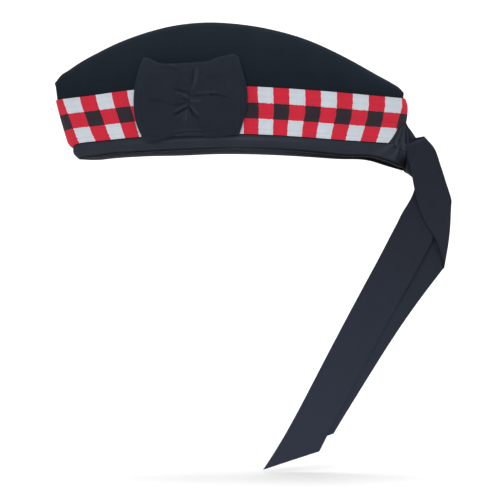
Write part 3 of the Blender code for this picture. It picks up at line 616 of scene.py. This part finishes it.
# along, then how far the columns drift towards the back, in mm, at the levels below
diceLevels = (1.0, 1.2, 1.5, 1.8, 2.0)
diceDrift = np.array((
    (0, 0, 0, 0, 0, 0), (0.04, 2.1, 0.9, 1, 0.7, 1.7), (0.08, 2.3, 1.3, 1.1, 0.9, 1.3),
    (0.14, 2.9, 2.2, 1.6, 1.3, 1.7), (0.22, 2, 1.8, 1.4, 0.9, 1.3), (0.4, 1.3, 1.4, 1.5, 0.9, 1.2),
    (0.56, 0.5, 0.7, 1.3, 0.7, 0.6), (0.63, -0.7, -0.6, 0, -0.2, -0.8), (0.69, -1.5, -1.3, 0.1, -0.3, -1.2),
    (0.75, -2.4, -1.8, -0.4, -0.7, -1.9), (0.81, -2.5, -1.8, -0.5, -0.9, -2.1),
    (0.87, -2.3, -1.3, -0.3, -0.7, -2.2), (0.92, -0.8, -0.2, 0.2, -0.3, -2.1),
    (0.97, 2.5, 1.3, 0.6, 0.4, -1.1),
))


def makeDiceMaterial():
    # Cell numbers from the UV: red where column and row disagree, else black in the middle row and
    # white in the outer ones. Threads step each border a little and carry their own tone.
    own = weaveLook
    material, tree, shader, flat, nap = startCloth("dicedWeave", own)
    split = tree.nodes.new("ShaderNodeSeparateXYZ")
    feed(tree, split, {0: flat})
    warpCount, weftCount = [addMath(tree, "MULTIPLY", split.outputs[way], own["threads"]) for way in "XY"]
    warpTone, weftTone = addRandom(tree, warpCount), addRandom(tree, weftCount)
    cells = []
    for way, tone in (("X", weftTone), ("Y", warpTone)):
        step = addMath(tree, "MULTIPLY", addMath(tree, "SUBTRACT", tone, 0.5), own["jitter"])
        cells.append(addMath(tree, "FLOOR", addMath(tree, "ADD", split.outputs[way], step)))
    even = addMath(tree, "SUBTRACT", 1.0, addMath(tree, "MODULO", cells[0], 2.0))
    middle = addMath(tree, "COMPARE", cells[1], 1.0, 0.4)
    isRed = addMath(tree, "ABSOLUTE", addMath(tree, "SUBTRACT", even, middle))
    isBlack = addMath(tree, "MULTIPLY", even, middle)
    colour = addMix(tree, isRed, addMix(tree, isBlack, own["white"], own["black"]), own["red"])
    shade = addSum(tree, (weftTone, own["weftTone"]), (nap["Tone"], own["patchTone"]),
                   (warpTone, own["warpTone"]))
    shaded = addMix(tree, 1.0, colour, addMix(tree, shade, own["dark"], own["light"]), "MULTIPLY")
    feed(tree, shader, {"Base Color": shaded})
    height = addSum(tree, (addWave(tree, weftCount), 1.0), (addWave(tree, warpCount), own["warpHeight"]),
                    (nap["Fibre"], own["napHeight"]))
    addBump(tree, shader, height, own)
    return material


def makeBand():
    # Round the front from one edge of the slit to the other, lifted off the felt by the gap.
    # UV: columns of dice from the front seam on both sides, and rows from the foot.
    own = dicedBand
    level = 1 + np.linspace(0, 1, own["lines"]) ** own["lineSpread"]
    turn = turnAt(bandEndShare(level))[:, None] * np.linspace(-1, 1, 2 * own["steps"] + 1)
    level = np.broadcast_to(level[:, None], turn.shape)
    share = shareAt(turn)
    topLength = cap["backs"][2] - cap["fronts"][2]
    start, pitch = [own[name + "Foot"] / footLength * (2 - level) + own[name + "Top"] / topLength * (level - 1)
                    for name in ("start", "pitch")]
    columns = smoothAt(diceDrift, share)
    near = np.array([np.interp(level, diceLevels, one) for one in np.eye(5)])
    moved = share - (columns * near).sum(axis=0) * mm / footLength
    first = own["seamShare"] + (1 - own["seamShare"]) * np.abs(turn) / turnAt(start)
    u = np.where(moved < start, first, 1 + (moved - start) / pitch)
    flat = np.stack((u, (level - 1) * own["rows"]), axis=-1)
    waves = softWaves(turn * turnLength, level * own["height"], own["wobbleSize"], seed=21)
    lift = gap + own["wobble"] * (1 + waves)
    climb = gap * ramp(level, 1.1, -10)
    outer, inner = capPoint(turn, level, lift + own["wall"], climb), capPoint(turn, level, lift, climb)
    for face in (outer, inner):
        keepToSide(face[:, 0], -1, gap / 2)
        keepToSide(face[:, -1], 1, gap / 2)
    piece = clothWall("dicedBand", outer, inner, flat=flat)
    finishPiece(piece, "diced_band", makeDiceMaterial())


makeBand()
print("band: diced weave round the front")


rimBinding = {
    "height": 0.01, "top": 0.97, "endHalf": 0.0022, "wall": 0.001, "steps": 300, "rolled": 0.0011,
    # Painted light: the fan's crests, the strip on the upper part and the inner leg. Painted shade: the line under
    # the fold, the back part's underside and the hollow
    "fanAt": (0.133, 0.012), "fanReach": 0.017, "fanDepth": 0.0012, "fanCount": 9.0,
    "fanFrom": 0.1, "fanPhase": 0.6, "fanTwist": 40, "fanHighlight": 0.45,
    "hollowAt": (0.1362, -0.0064), "hollowReach": 0.0062, "hollowSink": 0.001,
    "ripple": 0.00015, "rippleSize": 0.02,
    "stripAt": 0.72, "stripWidth": 0.13, "stripLight": 0.36, "stripMiddle": 0.45, "stripEnds": 3,
    "foldLineShade": 0.95, "foldReach": 0.075, "foldWeaker": 0.45, "weakerAt": 0.5, "weakerWidth": 0.13,
    "foldUntil": 2.4, "insideFrom": 2.2, "shadeUnder": 1.2,  # angles round the fold
    "insideLight": 0.62, "shadeFrom": 0.62, "shadeTo": 0.88, "shadeTone": 0.92,
    "flat": (0.64, 0.0265),
}


def foldPath(outer=26, fold=11, inner=9):
    # Shares down the outer leg (1 to 0), the half turn under the edge (angle 0 to pi), and up the inner leg,
    # in so many rows each
    height = np.hstack((np.linspace(1, 0, outer, endpoint=False), np.zeros(fold),
                        np.linspace(0, 1, inner + 1)[1:]))
    angle = np.hstack((np.zeros(outer), np.linspace(0, pi, fold), np.full(inner, pi)))
    return height, angle


def hollowMark(x, z):
    # Bell round a point of the side view, for the hollow under the knot: the cloth sinks there and has shade
    # painted into it
    (atX, atZ), reach = rimBinding["hollowAt"], rimBinding["hollowReach"]
    return bell(np.hypot(x - atX, z - atZ), reach)


def makeRimBinding():
    # Ribbon folded over the rim: lift and drop are the cosine and sine of the fold's angle. The outer leg is
    # rolled out as a sine, with gathers that fan out from the foot of the slit.
    own = rimBinding
    height, angle = [part[:, None] for part in foldPath()]
    level = height * own["top"]
    turn = turnAt(shareOfHalf(own["endHalf"], level)) * np.linspace(-1, 1, 2 * own["steps"] + 1)
    level, angle = np.broadcast_to(level, turn.shape), np.broadcast_to(angle, turn.shape)
    share, place = shareAt(turn), sidePoint(turn, level)
    outside = np.clip(np.cos(angle), 0, 1)
    x, z = place[..., 0], place[..., 2]
    dx, dz = x - own["fanAt"][0], z - own["fanAt"][1]
    fan = np.exp(-np.hypot(dx, dz) / own["fanReach"]) * ramp(x, own["fanFrom"], 80)
    wave = np.sin(own["fanCount"] * np.arctan2(dz, dx) + own["fanPhase"] + own["fanTwist"] * dx)
    hollow = hollowMark(x, z) * outside
    lift = own["fanDepth"] * fan * (1 + wave) - own["hollowSink"] * hollow
    lift = lift + own["rolled"] * np.sin(pi * height)
    lift = lift + own["ripple"] * softWaves(turn * turnLength, level * own["height"], own["rippleSize"], seed=31)
    faces = []
    for wall in (own["wall"], 0):
        out = (feltWall / 2 + gap + wall) * np.cos(angle) - feltWall / 2 + lift * outside
        faces.append(capPoint(turn, level, out, -(gap + wall) * np.sin(angle)))
    # Painted highlights on the gathers, a painted light strip and a lighter inner leg; painted shade under the
    # fold, at the back and in the hollow
    strip = bell(height - own["stripAt"], own["stripWidth"])
    strip = strip * np.clip(1 - np.abs(share - own["stripMiddle"]) * own["stripEnds"], 0, 1)
    fade = own["fanHighlight"] * np.clip(fan * wave, 0, 1) + own["stripLight"] * strip
    shade = ramp(share, own["shadeFrom"], 1 / (own["shadeTo"] - own["shadeFrom"]))
    shade = shade * (angle > own["shadeUnder"])
    litInside = own["insideLight"] * (1 - shade) * (angle > own["insideFrom"])
    foldShadeLine = own["foldLineShade"] * bell(height, own["foldReach"]) * ramp(angle, own["foldUntil"], -1)
    foldShadeLine = foldShadeLine * (1 - own["foldWeaker"] * bell(share - own["weakerAt"], own["weakerWidth"]))
    crease = np.maximum(np.maximum(hollow, foldShadeLine), own["shadeTone"] * shade)
    marks = {"fade": fade * (1 - hollow) * outside + litInside, "crease": crease}
    piece = clothWall("rimBinding", faces[0], faces[1], marks=marks)
    finishPiece(piece, "rim_binding", bindingBlack)


slitBinding = {
    "foot": 1.01, "top": 1.47, "lap": 0.42, "lapLift": 0.0013, "lapFrom": 1.05,
    "rows": 60, "wall": 0.001, "edgeHalf": 0.00015,  # the last keeps the two edges apart
    "folds": 2.6, "foldStart": 0.35, "foldDepth": 0.0007, "foldEnds": 0.6, "foldRoot": 0.5,
    "bulge": 0.0026, "bulgeReach": 0.4, "foldCrestLight": 0.22, "foldTroughShade": 0.35,
    "flat": (0.03, 0.028), "area": 0.0006,
}


def makeSlitBinding(name, node, side):
    # The same fold along one edge of the slit. Its outer leg widens to its foot, laps over the rim's binding
    # and gathers into folds, cosines that die out to the top. Its edge bulges back over the knot.
    own = slitBinding
    legs, angle = foldPath()
    outside = np.clip(np.cos(angle), 0, 1)
    climb = np.linspace(0, 1, own["rows"])[:, None]
    foot = own["foot"] - own["lap"] * (1 - legs) * outside
    level = foot + (own["top"] - foot) * climb
    edge = slitShare(level)
    start = edge - (mm * straightAt(legRows, level)[0] - 2 * gap) / footLength
    wave = np.cos(2 * pi * (own["folds"] * legs + own["foldStart"])) * (1 - climb) ** own["foldEnds"]
    over = own["lapLift"] * ramp(level, own["lapFrom"], -12)
    over = over + own["foldDepth"] * (1 + wave) * np.sin(pi * legs) ** own["foldRoot"]
    bulge = own["bulge"] * (1 - climb ** 2) * bell(legs, own["bulgeReach"]) * (1 + np.cos(angle)) / 2
    faces = []
    for wall in (own["wall"], 0):
        half = slitHalfAt(level) - (gap + wall) * np.sin(angle)
        beyond = shareOfHalf(np.maximum(half, own["edgeHalf"]), level)
        share = np.where(legs > 0, edge + (start - edge) * legs, beyond)
        out = (feltWall / 2 + gap + wall) * np.cos(angle) - feltWall / 2 + over * outside
        face = capPoint(side * turnAt(share), level, out)
        face[..., 0] += bulge
        keepToSide(face, side, gap / 2)
        faces.append(face)
    # Painted highlights on the folds' crests and painted shade in their troughs
    marks = {"fade": wave * outside * own["foldCrestLight"], "crease": -wave * outside * own["foldTroughShade"]}
    piece = clothWall(name, faces[0], faces[1], marks=marks)
    finishPiece(piece, node, bindingBlack)


makeRimBinding()
makeSlitBinding("slitBindingLeft", "slit_binding_left", 1)
makeSlitBinding("slitBindingRight", "slit_binding_right", -1)
print("bindings: rim and slit")


cockade = {
    "width": 0.091, "height": 0.066, "front": -0.0848, "foot": 0.0105,
    "frontLines": 210, "backLines": 40, "rows": 130, "evenShare": 0.55,
    "puff": 0.005, "standOff": 0.0013, "ease": 0.0004, "easeSize": 0.035, "wall": 0.0009, "seat": 0.0004,
    "pinch": (0.0425, 0.029), "pinchSpread": 0.012, "pinchDepth": 0.5,
    "creaseGain": 0.7, "creaseShade": 0.5, "darkest": 0.85, "ridgeHighlight": 0.5, "edgeLight": 0.22, "edgeWidth": 0.0011,
    "rimEase": (0.45, 0.16), "easeTop": 1.15,  # standing off at foot and head, over what share of the height
    "endSoft": 2.2,  # the creases' ends are longer than their sides by this
    "flat": (0.066, 0.195),
}

# up, then shares of the width at the front and back edges
cockadeEdges = np.array((
    (0, 0.07, 0.925), (0.2, 0.012, 0.965), (0.4, -0.01, 0.995), (0.62, -0.004, 0.99), (0.82, 0.028, 0.955),
    (1, 0.072, 0.918),
))

# across, then shares of the height at the foot and the head
cockadeRims = np.array((
    (0, 0.02, 0.99), (0.08, -0.006, 0.962), (0.18, 0.014, 0.905), (0.3, 0.046, 0.888), (0.45, 0.05, 0.896),
    (0.6, 0.048, 0.904), (0.7, 0.042, 0.918), (0.78, 0.04, 0.955), (0.88, 0.052, 0.98), (0.95, 0.06, 1),
    (1, 0.06, 0.99),
))

# creases of the front layer in mm from its front foot corner: from x, z to x, z, depth (or rise), width
cockadeCreases = (
    (46.8, 54, 46.5, 44, 0.9, 0.9), (50.2, 54, 49.2, 47.9, -0.6, 1.3), (49.2, 47.9, 47.2, 42.4, -0.9, 1),
    (28.1, 60.5, 33, 58.5, -0.4, 0.9), (26.5, 58.3, 32.2, 56.2, 0.5, 1.2), (33, 39.8, 42.8, 37.3, 0.9, 0.9),
    (42.8, 37.3, 44.4, 31.6, 0.8, 0.8), (33, 37.7, 39.5, 36.1, -0.5, 0.9),
    (39.5, 35.7, 44.4, 33.3, -0.8, 0.9), (44.4, 34.1, 60.7, 35.7, 0.7, 0.8),
    (60.7, 35.7, 66.3, 35.3, 1.2, 0.8), (66.3, 35.3, 74.5, 33.3, 0.8, 0.9),
    (52.5, 37.2, 64.7, 37.6, -0.4, 1.1), (40.3, 32, 43.6, 30, 0.9, 0.9), (46, 30.8, 51.7, 30.8, -0.8, 1),
    (13.5, 30.8, 20, 30.6, 0.7, 0.9), (20, 30.6, 33, 26.8, 0.3, 0.9), (33, 27.6, 39.5, 28.8, 0.9, 0.8),
    (33, 20.2, 42.8, 25.5, 1.4, 0.9), (33, 23.1, 40.3, 26.7, -0.6, 0.9), (33.8, 17.8, 39.5, 21.5, -0.5, 0.8),
    (44.4, 24.7, 46.8, 20.2, 1.3, 0.9), (46.8, 20.2, 51.3, 15.8, 0.9, 0.9),
    (45.8, 25.5, 50.1, 21.1, -0.7, 0.9), (42, 23.6, 41.5, 16.2, -0.8, 0.8), (39.5, 20, 39.1, 16.6, -0.4, 0.7),
    (44.4, 21, 44.8, 16.6, -0.4, 0.7), (60, 49.6, 66, 50.8, 0.3, 1.6), (33, 6.4, 42.8, 7.4, -0.4, 0.7),
    (42.8, 7.4, 52.5, 7.1, -0.4, 0.7), (33, 5, 43, 6, 0.4, 0.7), (43, 6, 56, 5.6, 0.4, 0.7),
    (33, 3.4, 42.8, 4.6, -0.4, 0.6), (42.8, 4.6, 54, 4, -0.4, 0.6),
)


def seenFromSide(x, z):
    # Turn and level of the felt that shows at x, z from the left: level and share are refined in turn
    level = np.full_like(x, 1.5)
    for _ in range(12):
        front, back = endsAt(level)
        share = np.clip((x - front) / (back - front), 0, 1)
        rim, foot, top, ridge = [heightAt(share, one) for one in range(4)]
        high = 2 + (z - top) / (ridge - top)
        level = np.where(z < foot, (z - rim) / (foot - rim), np.where(z < top, 1 + (z - foot) / (top - foot), high))
        level = np.clip(level, 0, 3)
    return turnAt(share), level


def creaseDepth(x, z):
    # Depth of all valleys and of all ridges: each is a bell over the distance to its line
    valleys, ridges = np.zeros_like(x), np.zeros_like(x)
    for startX, startZ, endX, endZ, depth, width in cockadeCreases:
        lineX, lineZ = (endX - startX) * mm, (endZ - startZ) * mm
        length = np.hypot(lineX, lineZ)
        awayX, awayZ = x - startX * mm, z - startZ * mm
        run, off = (awayX * lineX + awayZ * lineZ) / length, (awayZ * lineX - awayX * lineZ) / length
        past = np.maximum(np.maximum(-run, run - length), 0) / cockade["endSoft"]
        kind = valleys if depth > 0 else ridges
        np.maximum(kind, abs(depth) * np.exp(-((off ** 2 + past ** 2) / (width * mm) ** 2)), out=kind)
    return valleys, ridges


def makeCockade():
    # A flat loop of ribbon: the front layer stands off by a full lobe, the root of 1 - across^6, pinched by a
    # bell and creased along the rows above. Across is partly a cosine, so that the loop's ends are round.
    own = cockade
    going = np.linspace(0, 1, own["frontLines"], endpoint=False)
    front = own["evenShare"] * going + (1 - own["evenShare"]) * (1 - np.cos(pi * going)) / 2
    back = (1 + np.cos(pi * np.linspace(0, 1, own["backLines"]))) / 2
    across = np.hstack((front, back))
    inFront = np.hstack((np.ones(len(front)), np.zeros(len(back))))
    up = np.linspace(0, 1, own["rows"])[:, None]
    left, right = smoothAt(cockadeEdges, up) * own["width"]
    foot, head = smoothAt(cockadeRims, across) * own["height"]
    x, z = left + (right - left) * across, foot + (head - foot) * up
    away = np.hypot(x - own["pinch"][0], z - own["pinch"][1])
    lobe = 1 - own["pinchDepth"] * bell(away, own["pinchSpread"])
    fullness = np.clip(1 - (2 * across - 1) ** 6, 0, 1) ** 0.5 * inFront
    ease = own["ease"] * softWaves(x, z, own["easeSize"], seed=41)
    low, reach = own["rimEase"]
    rimmed = np.clip(np.minimum(up, own["easeTop"] - up) / reach, 0, 1)
    puff = (own["puff"] * lobe + ease) * (low + (1 - low) * rimmed * (2 - rimmed))
    seat = 2 * gap + dicedBand["wall"] + own["wall"] / 2 + own["seat"]
    turn, level = seenFromSide(x + own["front"], z + own["foot"])
    smooth = capPoint(turn, level, seat + (own["standOff"] + puff) * fullness)
    valleys, ridges = creaseDepth(smooth[..., 0] - own["front"], smooth[..., 2] - own["foot"])
    puff = (puff - mm * own["creaseGain"] * (valleys - ridges)).clip(0)
    middle = capPoint(turn, level, seat + (own["standOff"] + puff) * fullness)
    # Painted shade in the creases, painted highlights on the ridges and painted light along the edges
    rim = np.minimum(np.minimum(x - left, right - x), head - z)
    edge = own["edgeLight"] * bell(rim, own["edgeWidth"])
    marks = {"fade": (own["ridgeHighlight"] * ridges + edge) * inFront,
             "crease": np.minimum(own["creaseShade"] * valleys, own["darkest"]) * inFront}
    flat = np.stack((z, x), axis=-1)
    piece = clothAround("cockadeBow", middle, own["wall"], wrap=True, flat=flat, marks=marks)
    finishPiece(piece, "cockade_bow", bowBlack)


makeCockade()
print("cockade: pinched loop of ribbon")


knot = {
    "top": (0.1395, 0.0, 0.0265), "length": 0.045, "thickness": 0.013, "fullness": 0.95,
    "tongueEnd": -0.002, "swellRun": 0.0018,  # behind the top: where the tongue ends, and swells to the gathers
    "pleats": 7, "pleatShare": 0.1, "pleatTurn": 2.2, "sides": 160, "rings": 150, "heart": 0.02,
    "hollowDepth": 0.45, "square": 0.5, "hollowShade": 0.8, "pleatLightShade": 0.35,
    # below the top a lip stands out at both sides, from and to these shares of the length
    "lipWidth": 0.0019, "lipHeight": 0.0026, "lipFrom": 0.1, "lipTo": 0.6,
}

# below, then shares of the length to the front and back, and of half the thickness in the slit and behind it
knotRows = np.array((
    (0, -0.02, 0.009, 0.1, 0.22), (0.067, -0.04, 0.04, 0.13, 0.42), (0.122, -0.055, 0.085, 0.17, 0.58),
    (0.28, -0.065, 0.19, 0.22, 0.78), (0.398, -0.067, 0.256, 0.25, 0.92), (0.7, -0.067, 0.333, 0.25, 1),
    (0.851, -0.067, 0.328, 0.25, 0.9), (0.87, -0.06, 0.324, 0.3, 0.86), (0.907, -0.035, 0.311, 0.4, 0.75),
    (0.942, 0.033, 0.29, 0.45, 0.62), (1, 0.107, 0.244, 0.3, 0.35),
))


def makeKnot():
    # Level oval rings between a front and a back line: half their width is the root of the sine round the
    # ring, thin in the slit, full behind it, and waved by pleats that run down from the top.
    own = knot
    below = np.linspace(0, 1, own["rings"])[:, None]
    angle = np.linspace(0, 2 * pi, own["sides"] + 1)
    front, back, tongue, thick = straightAt(knotRows, below)
    behind = own["length"] * ((front + back) / 2 + (back - front) / 2 * np.cos(angle))
    swell = ramp(behind, own["tongueEnd"], 1 / own["swellRun"])
    swell = swell * swell * (3 - 2 * swell)
    pleat = np.abs(np.cos(own["pleats"] / 2 * angle + own["pleatTurn"] * below)) * 2 - 1
    fold = own["pleatShare"] * swell * pleat
    half = own["thickness"] / 2 * (tongue + (thick - tongue) * swell) * (own["fullness"] + fold)
    x, z = own["top"][0] + behind, own["top"][2] - own["length"] * below + 0 * angle
    hollow = hollowMark(x, z)
    half = half * (1 - own["hollowDepth"] * hollow)
    lip = bell(behind, own["lipWidth"])
    lip = lip * ramp(below, own["lipFrom"], 12) * ramp(below, own["lipTo"], -12)
    half = half + own["lipHeight"] * lip
    side = np.sign(np.sin(angle)) * np.abs(np.sin(angle)) ** own["square"]
    outer = np.stack((x, half * side, z), axis=-1)
    heart = outer.mean(axis=1, keepdims=True)
    # Painted light on the pleats' crests, painted shade in their troughs and in the hollow
    tone = swell * pleat * own["pleatLightShade"]
    marks = {"fade": tone, "crease": np.maximum(own["hollowShade"] * hollow, -tone)}
    piece = clothWall("backKnot", outer, heart + (outer - heart) * own["heart"], wrap=True, marks=marks)
    finishPiece(piece, "back_knot", ribbonBlack)


makeKnot()

tails = {
    "width": 0.0325, "layer": 0.003, "wall": 0.0005, "lines": 25, "overSteps": 110, "fallSteps": 220,
    "nearSteps": 260, "overLength": 0.0826, "fallLength": 0.215, "nearLength": 0.2656,
    "overTop": (0.1471, 0.0141), "nearTop": (0.156, -0.0189),
    "endCut": 0.037, "cutStart": 0.72, "cutBend": 1.2,
    "cup": 0.0002, "sway": 0.0005, "swaySize": 0.09, "farFree": 0.12, "nearFree": 0.3,
    "rollAt": 0.0028, "rollSlope": 0.12, "rollWidth": 0.0008, "rollHighlight": 0.55, "rollShade": 0.75, "paintedLightBend": 1.3,
}

# run, heading and row direction in degrees from straight down, depth in layers, then the width and the
# bow of the row as shares of the ribbon's width
tailOver = np.array((
    (0, 23, 100, -1.75, 0.433, 0), (0.05, 21.4, 98.7, -2.25, 0.533, 0), (0.12, 19, 99.3, -2.36, 0.678, 0),
    (0.3, 15.6, 93.4, -2.34, 0.765, 0), (0.5, 14.5, 105.6, -1.45, 0.834, 0),
    (0.78, 24.6, 139.3, -0.62, 0.856, 0.01), (0.94, 24.6, 165.3, -0.45, 0.766, 0.04),
    (1, 26.3, 174.7, -0.05, 0.907, 0.05),
))
tailFall = np.array((
    (0, -36.4, 174.7, -0.05, 0.907, 0.05), (0.02, -33.1, 179.3, 0.8, 0.903, 0.045),
    (0.07, -34.5, 191.4, 1.05, 0.919, 0.03), (0.22, -37.6, 226.1, 0.84, 0.922, 0),
    (0.36, -36.1, 231.9, 0.36, 0.938, 0), (0.6, -32.9, 239.1, 0.24, 1.007, 0), (1, -29.3, 241, 0.24, 1, 0),
))
tailNear = np.array((
    (0, 5.9, 90, 0, 0.456, 0), (0.055, -5.1, 84, 0, 0.671, 0), (0.12, -19, 79, 0, 0.963, 0),
    (0.18, -25.6, 66, 0, 1.008, 0), (0.3, -28.1, 62, 0, 1.006, 0), (0.6, -28, 61.8, 0, 0.985, 0),
    (0.9, -28.9, 60.7, 0, 0.968, 0), (1, -31.5, 60.2, 0, 0.993, 0),
))


def ribbonGrid(rows, length, start, steps, cut=0.0):
    # Middle line: the running sum of sin and cos of the heading. Rows lie across it in their own direction,
    # as long as the width over the sine of the angle between, bowed as 1 - across^2. The cut slides the
    # edges of the end apart.
    own = tails
    finer = 20  # steps of the running sum in each row
    heading = np.radians(smoothAt(rows, np.linspace(0, 1, finer * (steps - 1) + 1))[0])[:, None]
    step = length / (len(heading) - 1)
    x, z = [np.concatenate((((0,),), np.cumsum(way(heading[:-1]) * step, axis=0)))[::finer]
            for way in (np.sin, np.cos)]
    run, across = np.linspace(0, 1, steps)[:, None], np.linspace(-1, 1, own["lines"])
    row, depth, wide, bent = smoothAt(rows, run)[1:]
    heading, row = heading[::finer], np.radians(row)
    half = own["width"] * wide / 2 / np.abs(np.sin(row - heading))
    shift = -cut / 2 * np.clip((run - own["cutStart"]) / (1 - own["cutStart"]), 0, 1) ** own["cutBend"] * across
    bow = own["width"] * bent * (1 - across ** 2)
    x = start[0] + x + half * np.sin(row) * across + np.sin(heading) * shift - np.cos(row) * bow
    z = start[1] - z - half * np.cos(row) * across - np.cos(heading) * shift - np.sin(row) * bow
    grid = np.stack(np.broadcast_arrays(x, own["layer"] * depth, z), axis=-1)
    return grid, np.stack(np.broadcast_arrays(own["width"] / 2 * across, length * run + shift), axis=-1)


def relaxRibbon(grid, free):
    # Slow sway and a slight cup across the ribbon, none where it is folded. Both tails sway as one.
    own = tails
    across = np.linspace(-1, 1, own["lines"])
    sway = own["sway"] * softWaves(grid[..., 0], grid[..., 2], own["swaySize"], seed=51)
    loose = ramp(np.linspace(0, 1, len(grid)), free, 6)
    grid[..., 1] += (sway - own["cup"] * (across ** 2 - 0.33)) * loose[:, None]


def makeTails():
    own = tails
    over, overFlat = ribbonGrid(tailOver, own["overLength"], own["overTop"], own["overSteps"])
    fold = (over[-1, 0] + over[-1, -1]) / 2
    fall, fallFlat = ribbonGrid(tailFall, own["fallLength"], fold[::2], own["fallSteps"], -own["endCut"])
    relaxRibbon(fall, own["farFree"])
    fallFlat[..., 1] += own["overLength"]
    whole, flat = np.concatenate((over, fall[1:])), np.concatenate((overFlat, fallFlat[1:]))
    # Painted light: lighter towards the free end, and a highlight along the roll; painted shade behind the roll
    run = flat[..., 1] / flat[..., 1].max()
    below = flat[..., 1] - own["rollAt"] + own["rollSlope"] * flat[..., 0]  # behind the roll at the top
    line = bell(below - own["rollWidth"], own["rollWidth"])
    marks = {"fade": run ** own["paintedLightBend"] + own["rollHighlight"] * line,
             "crease": own["rollShade"] * np.clip(-below / own["rollWidth"], 0, 1)}
    farTail = clothAround("tailFar", whole, own["wall"], flat=flat, marks=marks)
    finishPiece(farTail, "tail_far", ribbonBlack)
    near, nearFlat = ribbonGrid(tailNear, own["nearLength"], own["nearTop"], own["nearSteps"], own["endCut"])
    relaxRibbon(near, own["nearFree"])
    # Painted light: lighter towards the free end
    run = nearFlat[..., 1] / nearFlat[..., 1].max()
    nearTail = clothAround("tailNear", near, own["wall"], flat=nearFlat, marks={"fade": run})
    finishPiece(nearTail, "tail_near", ribbonBlack)


makeTails()
print("knot and tails: gathered, folded and hanging")


studio = {
    "floor": {"Roughness": 0.9, "Base Color": (0.86, 0.86, 0.86)},
    "floorBelow": 0.0015, "floorHalf": 3.0, "coveAt": 1.6, "coveRadius": 0.8, "coveSteps": 24, "coveHeight": 3.0,
    "cameraPlace": (0.0084, -1.5, -0.0798), "viewWidth": 0.42,
    "world": 0.8,
    "lights": (  # name, place, target, size and power in watts
        ("topLight", (-0.2, -0.2, 1.6), (0, 0, 0), 1.0, 4),
        ("keyLight", (-0.6, -1.6, 0.7), (0, 0, 0), 0.5, 10),
        ("fillLight", (1.1, -1.4, -0.1), (0, 0, -0.1), 0.8, 5.4),
        ("wallLight", (0, 0.4, 1.8), (0, 2.4, 0.6), 1.6, 40),
    ),
}


def makeFloor():
    # A flat floor that turns up behind as a quarter circle and goes on as a wall
    own = studio
    low = min(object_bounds()[0][2], cadBox[0][2]) - own["floorBelow"]
    angle = np.linspace(0, pi / 2, own["coveSteps"])
    half, at, radius = own["floorHalf"], own["coveAt"], own["coveRadius"]
    x = np.array((-half, half))[:, None]
    y = np.hstack((-half, at + radius * np.sin(angle), at + radius))
    z = np.hstack((0, radius * (1 - np.cos(angle)), own["coveHeight"])) + low
    points = np.stack(np.broadcast_arrays(x, y, z), axis=-1)
    index = np.arange(2 * len(y)).reshape(2, -1)
    quads = np.stack((index[0, :-1], index[1, :-1], index[1, 1:], index[0, 1:]), -1)
    mesh = bpy.data.meshes.new("studioFloor")
    mesh.from_pydata(points.reshape(-1, 3).tolist(), [], quads.tolist())
    mesh.shade_smooth()
    mesh.materials.append(startMaterial("paleFloor", own["floor"])[0])
    placeObject("studioFloor", mesh)


def addSoftbox(name, place, target, size, power):
    light = bpy.data.lights.new(name, "AREA")
    light.shape, light.size, light.energy = "SQUARE", size, power
    lamp = placeObject(name, light)
    lamp.location = place
    lamp.rotation_euler = (Vector(target) - Vector(place)).to_track_quat("-Z", "Y").to_euler()


makeFloor()
for softbox in studio["lights"]:
    addSoftbox(*softbox)
world = bpy.data.worlds.new("studioWorld")
world.use_nodes = True
background = world.node_tree.nodes["Background"].inputs
background["Color"].default_value, background["Strength"].default_value = (1, 1, 1, 1), studio["world"]
bpy.context.scene.world = world

camera = bpy.data.cameras.new("camera")
camera.lens = camera.sensor_width * -studio["cameraPlace"][1] / studio["viewWidth"]
cameraObject = placeObject("camera", camera)
cameraObject.location = studio["cameraPlace"]
cameraObject.rotation_euler = (pi / 2, 0, 0)
bpy.context.scene.camera = cameraObject
bpy.context.scene.view_settings.view_transform = "Standard"
print("studio: floor, lights and camera")
